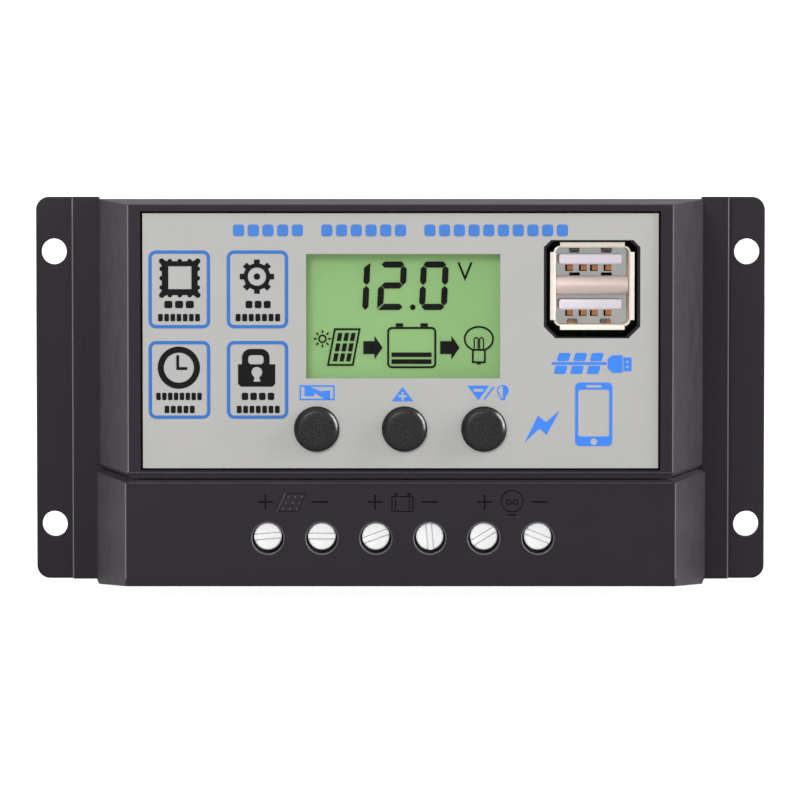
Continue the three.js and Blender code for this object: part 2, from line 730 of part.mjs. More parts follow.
// A power transistor lying on the plate, its three leads bent forward to the board.
function makeTransistor(x) {
  const { z, halfX, tabThickness, tabHalfZ, bodyHalfZ, thickness, leadPitch } = transistor;
  const back = baseHeight;
  const tabTop = z + tabHalfZ;
  const bodyBottom = z - tabHalfZ;
  const bodyTop = bodyBottom + 2 * bodyHalfZ;
  const tab = cuboid([x - halfX, x + halfX], [back, back + tabThickness], [bodyBottom, tabTop]);
  const hole = post(x, (bodyTop + tabTop) / 2, [0, back + 2 * tabThickness], 1.8);
  const body = cuboid([x - halfX, x + halfX], [back, back + thickness], [bodyBottom, bodyTop]);
  const leadHeights = [back + 2.3, back + 2.9];
  const leadEnd = bodyBottom - 3.5;
  const leads = [-1, 0, 1].flatMap((step) => {
    const across = [x + step * leadPitch - 0.4, x + step * leadPitch + 0.4];
    const flat = cuboid(across, leadHeights, [leadEnd, bodyBottom + 0.5]);
    const upright = cuboid(across, [leadHeights[0], board.topHeight - board.thickness], [leadEnd, leadEnd + 0.6]);
    return [flat, upright];
  });
  return join(cut(tab, hole), body, ...leads);
}

place('input_capacitor', makeCapacitor(inputCapacitor), 0x2a2f4a, 0.4);
place('usb_capacitor', makeCapacitor(usbCapacitor), 0x2a2f4a, 0.4);
place('usb_inductor', makeInductor(), 0x3b3a3a, 0.6);
place('controller_chip', makeChip(), partBlack, 0.5);
terminals.forEach((terminal, number) => {
  place(`${terminal}_mosfet`, makeTransistor((number - 1) * 30), partBlack, 0.5);
});

export default controller;
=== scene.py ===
import math

import bmesh
import bpy
from mathutils import Matrix, Vector


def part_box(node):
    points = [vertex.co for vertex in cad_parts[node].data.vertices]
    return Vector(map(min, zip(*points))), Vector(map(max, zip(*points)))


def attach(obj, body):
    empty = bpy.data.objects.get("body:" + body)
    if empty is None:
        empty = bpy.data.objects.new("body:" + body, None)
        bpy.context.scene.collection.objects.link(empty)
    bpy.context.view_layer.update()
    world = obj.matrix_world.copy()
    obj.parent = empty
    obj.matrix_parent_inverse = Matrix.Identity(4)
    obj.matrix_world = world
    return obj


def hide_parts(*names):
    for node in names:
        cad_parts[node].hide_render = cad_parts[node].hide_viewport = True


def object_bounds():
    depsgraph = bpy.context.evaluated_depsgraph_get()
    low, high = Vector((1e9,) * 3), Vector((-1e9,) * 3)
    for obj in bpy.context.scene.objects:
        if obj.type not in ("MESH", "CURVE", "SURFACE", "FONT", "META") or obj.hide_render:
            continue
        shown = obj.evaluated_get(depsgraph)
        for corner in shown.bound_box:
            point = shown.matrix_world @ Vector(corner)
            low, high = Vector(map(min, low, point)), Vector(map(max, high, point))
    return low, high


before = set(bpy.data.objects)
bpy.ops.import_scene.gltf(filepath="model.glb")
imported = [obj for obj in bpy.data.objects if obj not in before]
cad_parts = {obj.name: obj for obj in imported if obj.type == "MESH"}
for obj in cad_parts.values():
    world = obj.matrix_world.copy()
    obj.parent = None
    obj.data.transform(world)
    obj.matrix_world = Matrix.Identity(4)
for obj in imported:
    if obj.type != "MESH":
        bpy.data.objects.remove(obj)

cad_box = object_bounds()
MM = 0.001
ROOT = "root"
TERMINALS = ("solar", "battery", "load")
POLES = ("plus", "minus")
BUTTONS = ("mode", "up", "down")

# ---- places taken from the frame


def extent(node):
    """A node's box in millimetres: its x range, its height range and its z range."""
    low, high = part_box(node)
    return (
        (low.x / MM, high.x / MM),
        (-high.y / MM, -low.y / MM),
        (low.z / MM, high.z / MM),
    )


def middle(pair):
    return (pair[0] + pair[1]) / 2


LABEL_FRONT = extent("front_label")[1][1]
COVER_FRONT = extent("terminal_cover")[1][1]
BUTTON_X = {name: middle(extent(f"{name}_button")[0]) for name in BUTTONS}
BUTTON_Z = middle(extent("mode_button")[2])
WAYS = [f"{terminal}_{pole}" for terminal in TERMINALS for pole in POLES]
WAY_X = {way: middle(extent(f"{way}_screw")[0]) for way in WAYS}
WAY_Z = middle(extent("solar_plus_screw")[2])

# ---- outlines, as lists of (x, z)


def arc(x, z, radius, start, end, steps):
    """Points round part of a circle, with its angles in degrees."""
    angles = [math.radians(start + (end - start) * i / steps) for i in range(steps + 1)]
    return [(x + radius * math.cos(a), z + radius * math.sin(a)) for a in angles]


def circle(x, z, radius, steps=48):
    return arc(x, z, radius, 0, 360, steps)[:-1]


def rectangle(x0, x1, z0, z1):
    return [(x0, z0), (x1, z0), (x1, z1), (x0, z1)]


def rounded(x0, x1, z0, z1, radius, steps=6):
    """A rectangle with rounded corners."""
    corners = ((x1, z1, -1, -1, 0), (x0, z1, 1, -1, 90), (x0, z0, 1, 1, 180), (x1, z0, -1, 1, 270))
    outline = []
    for x, z, to_x, to_z, start in corners:
        outline += arc(x + to_x * radius, z + to_z * radius, radius, start, start + 90, steps)
    return outline


def moved(outlines, x, z):
    return [[(x + px, z + pz) for px, pz in outline] for outline in outlines]


def frame_line(x0, x1, z0, z1, radius, line, steps=6, least_radius=0.05):
    """A rounded rectangle drawn as a line, as its outer and inner outlines."""
    inner = (x0 + line, x1 - line, z0 + line, z1 - line, max(radius - line, least_radius))
    return [rounded(x0, x1, z0, z1, radius, steps), rounded(*inner, steps)]


def stroke(path, width, sharpest_turn=0.3):
    """A line of one width along an open path, with mitred turns and square ends."""
    points = [Vector(p) for p in path]
    steps = [(b - a).normalized() for a, b in zip(points, points[1:])]
    left, right = [], []
    for i, point in enumerate(points):
        before = steps[max(i - 1, 0)]
        after = steps[min(i, len(steps) - 1)]
        side = Vector((-(before + after).y, (before + after).x)).normalized()
        reach = width / 2 / max(side.dot(Vector((-after.y, after.x))), sharpest_turn)
        left.append(tuple(point + side * reach))
        right.append(tuple(point - side * reach))
    return left + right[::-1]


def leaning(outline, slope, base_z):
    """The outline leaned to the right, with its points at base_z kept."""
    return [(x + (z - base_z) * slope, z) for x, z in outline]


def leaning_frame(x0, x1, z0, z1, line, slope):
    """A rectangle drawn as a line and leaned to the right, as its outer and inner outlines."""
    inner = rectangle(x0 + line, x1 - line, z0 + line, z1 - line)
    return [leaning(outline, slope, z0) for outline in (rectangle(x0, x1, z0, z1), inner)]


def quarter_turned(points, turns):
    """Points turned anticlockwise about the origin, by an angle in quarter turns."""
    cos, sin = math.cos(math.pi / 2 * turns), math.sin(math.pi / 2 * turns)
    return [(x * cos - z * sin, x * sin + z * cos) for x, z in points]


def cross(arm, line):
    """A plus sign."""
    half = line / 2
    outline = []
    for turn in range(4):
        outline += quarter_turned([(half, arm), (half, half), (arm, half)], -turn)
    return outline


def word_blocks(x0, x1, z0, z1, letters, filled=0.76, roundness=0.25):
    """Plain rounded blocks in place of words: letters lists how many blocks each word has."""
    pitch = (x1 - x0) / (sum(letters) + len(letters) - 1)
    width = pitch * filled
    blocks = []
    x = x0 + (pitch - width) / 2
    for count in letters:
        for _ in range(count):
            blocks.append(rounded(x, x + width, z0, z1, min(width, z1 - z0) * roundness, 3))
            x += pitch
        x += pitch
    return blocks


# ---- solids, as BMeshes in millimetres

WELD_CURVE = 1e-4
WELD_CAD = 0.002
FLAT_ANGLE = math.radians(0.5)
SHARP_ANGLE = math.radians(30)
SMOOTH_ANGLE = math.radians(32)


def plate(outlines, back, front):
    """Outlines filled between two heights; an outline inside another is a hole."""
    curve = bpy.data.curves.new("outline", "CURVE")
    curve.dimensions = "2D"
    curve.fill_mode = "BOTH"
    curve.extrude = (front - back) / 2
    for outline in outlines:
        spline = curve.splines.new("POLY")
        spline.points.add(len(outline) - 1)
        spline.points.foreach_set("co", [v for x, z in outline for v in (x, z, 0.0, 1.0)])
        spline.use_cyclic_u = True
    holder = bpy.data.objects.new("outline", curve)
    mesh = bpy.data.meshes.new_from_object(holder)
    body = bmesh.new()
    body.from_mesh(mesh)
    bpy.data.objects.remove(holder)
    bpy.data.meshes.remove(mesh)
    bpy.data.curves.remove(curve)
    bmesh.ops.remove_doubles(body, verts=body.verts, dist=WELD_CURVE)
    for vert in body.verts:
        x, z, out = vert.co
        vert.co = (x, -out - (back + front) / 2, z)
    bmesh.ops.recalc_face_normals(body, faces=body.faces)
    return body


def rail(section, x0, x1):
    """A section, given as (height, z) points, drawn out from x0 to x1."""
    body = plate([section], x0, x1)
    for vert in body.verts:
        height, minus_x, z = vert.co
        vert.co = (-minus_x, -height, z)
    bmesh.ops.recalc_face_normals(body, faces=body.faces)
    return body


def turned(x, z, profile, steps=96):
    """A profile of (radius, height) points turned about a forward axis."""
    body = bmesh.new()
    rings = []
    for radius, height in profile:
        count = steps if radius > 0 else 1
        turn = [2 * math.pi * i / count for i in range(count)]
        points = [(x + radius * math.cos(a), -height, z + radius * math.sin(a)) for a in turn]
        rings.append([body.verts.new(point) for point in points])
    for low, high in zip(rings, rings[1:]):
        for i in range(steps):
            j = (i + 1) % steps
            corners = [low[i % len(low)], low[j % len(low)], high[j % len(high)], high[i % len(high)]]
            body.faces.new(list(dict.fromkeys(corners)))
    bmesh.ops.recalc_face_normals(body, faces=body.faces)
    return body


def thread(shaft, depth, pitch, start, stop, crest=0.4):
    """The profile of a threaded shaft as one ridge for each turn."""
    ridges = []
    while start + pitch < stop:
        ridges += [(shaft, start + pitch * crest), (shaft - depth, start + pitch)]
        start += pitch
    return ridges


def box_solid(x, heights, z, turn=0.0):
    """A box over an x, a height and a z range, turned about its own forward axis by degrees."""
    body = bmesh.new()
    bmesh.ops.create_cube(body, size=1.0)
    size = (x[1] - x[0], heights[1] - heights[0], z[1] - z[0])
    place = Matrix.Translation((middle(x), -middle(heights), middle(z)))
    spin = Matrix.Rotation(-math.radians(turn), 4, "Y")
    body.transform(place @ spin @ Matrix.Diagonal((*size, 1.0)))
    return body


def cad_copy(node):
    """A node's mesh, welded and with its flat faces made whole, free to refine."""
    body = bmesh.new()
    body.from_mesh(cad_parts[node].data)
    body.transform(Matrix.Scale(1 / MM, 4))
    bmesh.ops.remove_doubles(body, verts=body.verts, dist=WELD_CAD)
    return whole_faces(body)


def whole_faces(body):
    """The solid with the triangles of each flat face joined into one."""
    bmesh.ops.dissolve_limit(body, angle_limit=FLAT_ANGLE, verts=body.verts, edges=body.edges)
    return body


def as_mesh(body, name="part"):
    """The solid as a mesh; the BMesh itself is given up."""
    mesh = bpy.data.meshes.new(name)
    body.to_mesh(mesh)
    body.free()
    return mesh


def in_scene(name, content):
    """A new object in the scene that holds a mesh, a light or a camera."""
    made = bpy.data.objects.new(name, content)
    bpy.context.collection.objects.link(made)
    return made


def joined(*bodies):
    """Several solids as one BMesh."""
    whole = bodies[0]
    for body in bodies[1:]:
        mesh = as_mesh(body)
        whole.from_mesh(mesh)
        bpy.data.meshes.remove(mesh)
    return whole


def cut_away(body, tool, operation="DIFFERENCE"):
    """What is left of a solid when a tool is cut from it, or the two made one with UNION."""
    parts = [in_scene("part", as_mesh(source)) for source in (body, tool)]
    cut = parts[0].modifiers.new("cut", "BOOLEAN")
    cut.operation = operation
    cut.solver = "EXACT"
    cut.object = parts[1]
    left = bmesh.new()
    left.from_object(parts[0], bpy.context.evaluated_depsgraph_get())
    for part in parts:
        bpy.data.meshes.remove(part.data)
    return whole_faces(left)


def is_sharp(edge):
    return len(edge.link_faces) == 2 and edge.is_convex and edge.calc_face_angle() > SHARP_ANGLE


def soften(body, width, chosen=lambda edge: True, segments=3):
    """Rounds the solid's sharp outer edges, or only those that chosen(edge) picks."""
    edges = [edge for edge in body.edges if is_sharp(edge) and chosen(edge)]
    bmesh.ops.bevel(body, geom=edges, offset=width, segments=segments, profile=0.5, affect="EDGES")
    return body


def piece(name, body, material, slot, *stands_for, rides=ROOT):
    """The finished Blender object for a solid, riding on its CAD body and replacing its CAD nodes."""
    body.transform(Matrix.Scale(MM, 4))
    for face in body.faces:
        face.smooth = True
    for edge in body.edges:
        edge.smooth = len(edge.link_faces) == 2 and edge.calc_face_angle() < SMOOTH_ANGLE
    mesh = as_mesh(body, name)
    mesh.materials.append(material)
    made = in_scene(name, mesh)
    shading = made.modifiers.new("even shading", "WEIGHTED_NORMAL")
    shading.keep_sharp = True
    shading.weight = 100
    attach(made, rides)
    if stands_for:
        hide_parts(*stands_for)


# ---- materials


def linear(*levels):
    """An sRGB colour, in levels from 0 to 255, as the linear colour that shaders take."""
    out = []
    for level in levels:
        part = level / 255
        out.append(part / 12.92 if part <= 0.04045 else ((part + 0.055) / 1.055) ** 2.4)
    return (*out, 1.0)


SOCKETS = {
    "alpha": "Alpha",
    "glow": "Emission Strength",
    "sheen": "Sheen Weight",
    "specular": "Specular IOR Level",
}


def fed(tree, node, inputs):
    """A shader node with its inputs filled: a socket is linked, and anything else is set."""
    for name, value in inputs.items():
        if isinstance(value, bpy.types.NodeSocket):
            tree.links.new(value, node.inputs[name])
        else:
            node.inputs[name].default_value = value
    return node


def shader_node(tree, kind, **inputs):
    return fed(tree, tree.nodes.new(f"ShaderNode{kind}"), inputs)


class Finish:
    """A Principled material with helpers for its procedural detail. Sizes are in millimetres."""

    def __init__(self, name, roughness, metallic=0.0, **settings):
        self.material = bpy.data.materials.new(name)
        self.material.use_nodes = True
        self.tree = self.material.node_tree
        self.surface = self.tree.nodes["Principled BSDF"]
        self.set(Roughness=roughness, Metallic=metallic)
        self.set(**{SOCKETS[setting]: value for setting, value in settings.items()})
        self.place = shader_node(self.tree, "TexCoord").outputs["Object"]

    def set(self, **inputs):
        fed(self.tree, self.surface, inputs)

    def noise(self, size, stretch=(1, 1, 1), detail=3.0):
        scale = [1 / (MM * size * s) for s in stretch]
        place = shader_node(self.tree, "Mapping", Vector=self.place, Scale=scale).outputs["Vector"]
        return shader_node(self.tree, "TexNoise", Vector=place, Scale=1.0, Detail=detail).outputs["Fac"]

    def spread(self, source, low, high, source_low=0.3, source_high=0.7):
        limits = {"From Min": source_low, "From Max": source_high, "To Min": low, "To Max": high}
        return shader_node(self.tree, "MapRange", Value=source, **limits).outputs["Result"]

    def mixed(self, factor, low, high):
        mix = shader_node(self.tree, "Mix")
        mix.data_type = "RGBA"
        return fed(self.tree, mix, {"Factor": factor, "A": low, "B": high}).outputs["Result"]

    def colour(self, base, drift, size, stretch=(1, 1, 1)):
        """A base colour that wanders a little darker and lighter over patches of that size."""
        factor = self.spread(self.noise(size, stretch), 0, 1)
        low = tuple(c * (1 - drift) for c in base[:3]) + (1.0,)
        high = tuple(min(c * (1 + drift), 1.0) for c in base[:3]) + (1.0,)
        return self.mixed(factor, low, high)

    def paint(self, colour):
        self.set(**{"Base Color": colour})

    def roughen(self, low, high, size, stretch=(1, 1, 1)):
        self.set(Roughness=self.spread(self.noise(size, stretch), low, high))

    def bump(self, depth, size, stretch=(1, 1, 1), detail=2.0):
        height = self.noise(size, stretch, detail)
        bump = shader_node(self.tree, "Bump", Distance=depth * MM, Height=height)
        self.set(Normal=bump.outputs["Normal"])


def plain_finish(
    name, levels, roughness=0.4, metallic=0.0, drift=0.06, patch=5.0, grain=0.01, grain_size=0.3, **settings
):
    """A moulded or printed surface: slight drift in colour and gloss, and a fine grain."""
    base = linear(*levels)
    finish = Finish(name, roughness, metallic, **settings)
    finish.set(**{"Emission Color": base})
    finish.paint(finish.colour(base, drift, patch))
    finish.roughen(roughness * 0.85, roughness * 1.15, patch / 2)
    finish.bump(grain, grain_size)
    return finish.material


def drawn_metal(name, levels, roughness, along, metallic=1.0, drift=0.08, grain=0.006, **settings):
    """Metal with fine lines along one axis, as left by rolling, drawing or extrusion."""
    base = linear(*levels)
    stretch = tuple(40.0 if axis == along else 1.0 for axis in "xyz")
    finish = Finish(name, roughness, metallic, **settings)
    finish.set(**{"Emission Color": base})
    finish.paint(finish.colour(base, drift, 0.5, stretch))
    finish.roughen(roughness * 0.8, roughness * 1.2, 0.4, stretch)
    finish.bump(grain, 0.25, stretch)
    return finish.material


def printing_ink(name, levels, roughness=0.45, drift=0.03, **settings):
    return plain_finish(name, levels, roughness, drift=drift, patch=2.0, grain=0.003, **settings)


CASE_LOOK = {"drift": 0.03, "grain": 0.003, "specular": 0.25, "sheen": 0.035}
case_plastic = plain_finish("case_plastic", (37, 30, 38), 0.5, patch=9.0, grain_size=0.35, **CASE_LOOK)
PLATE_LOOK = {**CASE_LOOK, "drift": 0.04}
anodised = drawn_metal("anodised_plate", (39, 32, 40), 0.5, "z", 0.0, **PLATE_LOOK)
# Lighter colours for thin strips along the covers' and plate's edges: painted highlight lines.
edge_highlight_plastic = plain_finish("painted_edge_highlight", (112, 110, 114), patch=4.0)
plate_edge_highlight = plain_finish("painted_plate_edge_highlight", (116, 114, 118), patch=4.0)
# The seam beads are lighter than the case: painted highlight lines along the groove.
bead_highlight_plastic = plain_finish("seam_bead", (60, 56, 62), drift=0.04, patch=4.0)
# Lighter, glossier plastic for the lips in the screw holes: a painted highlight on their rims.
lip_highlight_plastic = plain_finish("lip_painted_highlight", (84, 82, 87), 0.35, drift=0.08, patch=1.0)
# Lighter plastic for the panel mark's raised dots: a painted highlight.
dot_highlight_plastic = plain_finish("dots_painted_highlight", (74, 70, 76), 0.45, drift=0.08, patch=1.0)
# Near-black for the cone round each button: painted shade standing in for its dark lower and left edge; the
# gloss is real.
button_rim_gloss_and_shade = plain_finish("button_rim_gloss_and_painted_shade", (5, 5, 4), 0.27, drift=0.1, patch=0.6, specular=0.62)
# A near-black sheet in the gap round the label: painted shadow.
gap_shadow_black = plain_finish("label_gap", (8, 8, 8), 0.8, drift=0.1, patch=2.0, specular=0.1)

label_film = plain_finish(
    "label_film", (185, 184, 182), 0.42, drift=0.015, patch=14.0, grain=0.004, grain_size=0.5
)
blank_label = plain_finish("rating_label_film", (200, 200, 198), 0.5, drift=0.02, patch=9.0, grain=0.004)
title_ink = printing_ink("title_ink", (62, 126, 212))
frame_ink = printing_ink("frame_ink", (42, 114, 198))
icon_ink = printing_ink("icon_ink", (54, 134, 246))
black_ink = printing_ink("black_ink", (16, 15, 17), 0.6, drift=0.08, specular=0.15)
# Near-black sheets on the floors of the moulded marks: painted shade in the recesses.
mark_shade_black = plain_finish("engraved_mark_shade", (12, 10, 13), 0.7, drift=0.08, patch=2.0, specular=0.15)

segment_ink = plain_finish(
    "display_segment", (14, 12, 14), 0.7, drift=0.05, patch=2.0, grain=0.0, specular=0.15
)
display_back = plain_finish(
    "display_green", (137, 176, 115), 0.6, drift=0.02, patch=9.0, grain=0.003, glow=0.4, specular=0.2
)
backlight_plastic = plain_finish("backlight_plastic", (235, 240, 228), drift=0.03)

port_white = plain_finish("port_tongue", (230, 222, 231), drift=0.03, patch=3.0, grain=0.003)
# The outlet's back wall glows though it is no lamp: painted light deep in the port.
port_wall_painted_glow = plain_finish(
    "port_back_wall_painted_glow", (178, 182, 181), 0.5, drift=0.03, patch=2.0, grain=0.004, glow=0.62
)
# Near-black sheets in the outlet's slots: painted shade.
slot_shade_black = plain_finish("port_slot_shade", (12, 12, 12), 0.8, drift=0.1, patch=1.0)
shell_tin = drawn_metal("usb_shell_tin", (250, 240, 228), 0.42, "x", 0.4, drift=0.04, grain=0.003)
divider_tin = drawn_metal("usb_divider_tin", (222, 203, 196), 0.4, "x", 0.15, drift=0.05, grain=0.004)
# The springs, contacts and leaves glow a little, the contacts most: painted light inside the port.
spring_steel = drawn_metal("usb_spring_steel", (150, 138, 134), 0.4, "z", 0.6, drift=0.1, glow=0.04)
contact_copper_glowing = drawn_metal("usb_contact_copper", (222, 146, 90), 0.4, "z", 0.2, drift=0.12, glow=0.3)
leaf_brass = drawn_metal("usb_leaf_brass", (184, 148, 104), 0.4, "z", 0.3, drift=0.12, glow=0.03)

# Near-white, almost not metallic and faintly glowing: painted reflection and glow in place of the nickel
# heads' bright mirror.
screw_nickel_painted_glow = plain_finish(
    "screw_nickel_painted_glow", (252, 252, 253), 0.3, 0.06, drift=0.02, patch=1.0, grain=0.003, glow=0.05
)
zinc = plain_finish("zinc_screw", (150, 150, 154), 0.35, 0.9, drift=0.12, patch=1.0, grain=0.006)
clamp_steel = drawn_metal("clamp_steel", (196, 196, 190), 0.35, "z")
tinned_brass = drawn_metal("tinned_brass", (208, 160, 100), 0.35, "z")
terminal_plastic = plain_finish("terminal_plastic", (30, 30, 31), 0.5, drift=0.08)

board_fill = plain_finish("board_parts", (28, 28, 30), 0.5, grain=0.02)
sleeve = plain_finish("capacitor_sleeve", (38, 44, 74), 0.35, drift=0.1, patch=3.0)
epoxy = plain_finish("moulded_epoxy", (30, 30, 32), 0.6, drift=0.15, patch=1.0, grain=0.02, grain_size=0.15)
ferrite = plain_finish("ferrite", (58, 57, 56), 0.7, drift=0.15, patch=0.8, grain=0.03, grain_size=0.2)
spacer_plastic = plain_finish("spacer_plastic", (226, 222, 214), 0.5, drift=0.04)

# Black rubber with a coarse speckled grain.
rubber = Finish("button_rubber", 0.3, specular=0.4)
speckle = rubber.spread(rubber.noise(0.22, detail=4.0), 0, 1, 0.42, 0.66)
rubber.paint(rubber.mixed(speckle, linear(2, 1, 1), linear(56, 55, 53)))
rubber.roughen(0.28, 0.36, 0.3)
rubber.bump(0.011, 0.2, detail=4.0)

# Green solder mask over a grid of wandering copper tracks.
board = Finish("circuit_board", 0.4)
tracks = board.spread(board.noise(1.1, (1, 1, 6), detail=0.0), 0, 1, 0.49, 0.53)
board.paint(board.mixed(tracks, linear(20, 84, 46), linear(34, 112, 60)))
board.bump(0.03, 1.1, (1, 1, 6), detail=0.0)

# Clear front glass, seen mostly by its gloss.
glass = Finish("display_glass", 0.08, alpha=0.05)
glass.paint(glass.colour(linear(60, 80, 60), 0.03, 12.0))
glass.bump(0.001, 2.0)

# ---- case

BUTTON_HOLE = 3.975
BUTTON_CENTRES = [(x, BUTTON_Z) for x in BUTTON_X.values()]
ACCESS_BORE = 2.955
ACCESS_HOLE = 2.75
ACCESS_DROP = 0.3
ACCESS_CENTRES = [(x, WAY_Z - ACCESS_DROP) for x in WAY_X.values()]
EAR_HOLE = 2.355
EAR_HOLES = [(x, z) for x in (-63.5, 63.5) for z in (-25.0, 25.0)]
COVER_SCREWS = [f"cover_screw_{number}" for number in range(1, 5)]
SCREW_CLEARANCE = 4

# Height ranges that a drill passes through.
FRONT_SKIN = (31.0, 35.5)
LABEL_SKIN = (33.0, 34.0)
PLATE_SKIN = (-1.0, 5.0)

# The covers' flat fronts and the plate between its ears.
FRONT_HALF = 47.9
LOW_FRONT_HALF = 48.4
STEP_X = 60.0
PLATE_FRONT = extent("base_plate")[1][1]
EAR_FRONT = 2.4
PLATE_CUT_Z = (-40, 40)

# Openings in the upper cover's front: their greatest x, their z range, and a height behind their edges.
POCKET = (46.5, (-13.6, 32.8))
INNER_OPENINGS = (45.0, (-12.5, 31.0))
OPENING_BACK = 31.5

SEAM_BAND = (-16, -13)
SEAM_STRIPS = ((-15.4, -14.95), (-14.7, -13.8))

# Height ranges of the groove's floors and of the fine beads and dots.
SUNK = (COVER_FRONT - 0.9, COVER_FRONT - 0.12)
RAISED = (COVER_FRONT - 0.05, COVER_FRONT + 0.1)
BEAD_HALF = 0.09

# How far each kind of edge is rounded.
COVER_EDGE = 0.22
PLATE_EDGE = 0.2
RIM_EDGE = 0.12
SEAM_EDGE = 0.07
LABEL_EDGE = 0.05
LONG_EDGE = 4
LIP_ROUND = 0.18
LIP_DEPTH = 2


def bored(body, centres, radius, heights):
    """The solid with smooth round holes through it."""
    back, front = heights
    for x, z in centres:
        drill = turned(x, z, [(0, back), (radius, back), (radius, front), (0, front)])
        body = cut_away(body, drill)
    return body


def is_long(edge):
    return edge.calc_length() > LONG_EDGE


def at_seam(edge):
    return all(SEAM_BAND[0] < vert.co.z < SEAM_BAND[1] for vert in edge.verts)


def within(edge, opening):
    """Whether an edge lies in the front skin, inside an opening's reach."""
    reach, (low, high) = opening
    for vert in edge.verts:
        if vert.co.y > -OPENING_BACK or abs(vert.co.x) > reach or not low < vert.co.z < high:
            return False
    return True


def make_seam_strips():
    """The two floors of the groove between the covers, and a fine bead along each one's outer edge."""
    half = FRONT_HALF - 0.2
    floors = [rectangle(-half, half, low, high) for low, high in SEAM_STRIPS]
    edges = (SEAM_STRIPS[0][0] - BEAD_HALF, SEAM_STRIPS[1][1] + BEAD_HALF)
    beads = [rectangle(-half, half, z - BEAD_HALF, z + BEAD_HALF) for z in edges]
    return soften(plate(floors, *SUNK), 0.04, segments=2), soften(plate(beads, *RAISED), 0.08, segments=2)


def highlight_strips(half, low, high, front, inside=0.15, outside=0.07, depth=0.2, proud=0.02):
    """A thin lighter strip down each upright edge of a flat front: a painted highlight along the corner."""
    lines = []
    for side in (-1, 1):
        across = sorted((side * (half - inside), side * (half + outside)))
        lines.append(rectangle(*across, low, high))
    return plate(lines, front - depth, front + proud)


def make_upper_cover():
    body = bored(cad_copy("upper_cover"), BUTTON_CENTRES, BUTTON_HOLE, FRONT_SKIN)
    soften(body, SEAM_EDGE, lambda edge: at_seam(edge) and is_long(edge))
    soften(body, RIM_EDGE, lambda edge: within(edge, INNER_OPENINGS), 2)
    return soften(
        body, COVER_EDGE, lambda edge: is_long(edge) and not within(edge, POCKET) and not at_seam(edge)
    )


def make_terminal_cover():
    body = bored(cad_copy("terminal_cover"), ACCESS_CENTRES, ACCESS_BORE, FRONT_SKIN)
    soften(body, SEAM_EDGE, lambda edge: at_seam(edge) and is_long(edge))
    return soften(body, COVER_EDGE, lambda edge: is_long(edge) and not at_seam(edge))


def make_access_lips():
    """The rounded lip inside the mouth of each screw's hole."""
    back, wall = COVER_FRONT - LIP_DEPTH, ACCESS_BORE + 0.01
    turn = arc(0, 0, LIP_ROUND, 0, 90, 4)
    bend = [(ACCESS_HOLE + LIP_ROUND - out, COVER_FRONT - LIP_ROUND + up) for out, up in turn]
    profile = [(wall, back), (ACCESS_HOLE, back), *bend, (wall, COVER_FRONT), (wall, back)]
    return joined(*[turned(x, z, profile) for x, z in ACCESS_CENTRES])


def make_base_plate():
    """The plate with round ear holes and a square step. Edges by the cover screws stay sharp."""
    body = bored(cad_copy("base_plate"), EAR_HOLES, EAR_HOLE, PLATE_SKIN)
    for side in (-1, 1):
        slope = sorted((side * STEP_X, side * (STEP_X + 2)))
        body = cut_away(body, box_solid(slope, (EAR_FRONT, PLATE_FRONT + 1), PLATE_CUT_Z))
    screws = [(middle(x), middle(z)) for x, _, z in map(extent, COVER_SCREWS)]

    def clear_of_screws(edge):
        ends = [(vert.co.x, vert.co.z) for vert in edge.verts]
        return all(math.dist(end, screw) > SCREW_CLEARANCE for end in ends for screw in screws)

    return soften(body, PLATE_EDGE, clear_of_screws)


def make_front_label():
    body = bored(cad_copy("front_label"), BUTTON_CENTRES, BUTTON_HOLE, LABEL_SKIN)
    face = -LABEL_FRONT + 0.01
    return soften(body, LABEL_EDGE, lambda edge: all(vert.co.y < face for vert in edge.verts), 2)


piece("upper_cover_moulding", make_upper_cover(), case_plastic, "case_plastic", "upper_cover")
piece("base_plate_extrusion", make_base_plate(), anodised, "anodised_plate", "base_plate")
piece("front_label_film", make_front_label(), label_film, "printed_label", "front_label")
# A near-black sheet at the bottom of the gap round the label: painted shadow in the gap.
GAP_SHADOW = 0.35
(x0, x1), (label_back, _), (z0, z1) = extent("front_label")
gap = leaning_frame(x0 - GAP_SHADOW, x1 + GAP_SHADOW, z0 - GAP_SHADOW, z1 + GAP_SHADOW, GAP_SHADOW, 0)
piece("label_gap_painted_shadow", plate(gap, label_back + 0.01, label_back + 0.1), gap_shadow_black, "printed_label")

# ---- marks moulded in the terminal cover

MARK_DEPTH = 0.22
MARK_LINE = 0.32
MARK_Z = -18.84
MARK_PITCH = 9.64
MARK_MIDDLE = 0.35
PANEL_X = (-21.6, -18.0)
PANEL_Z = (MARK_Z - 1.7, MARK_Z - 1.7 + 3.3)
PANEL_LEAN = 0.45
CELL_HALF = 0.16
CELL_PITCH = (1.2, 1.05)


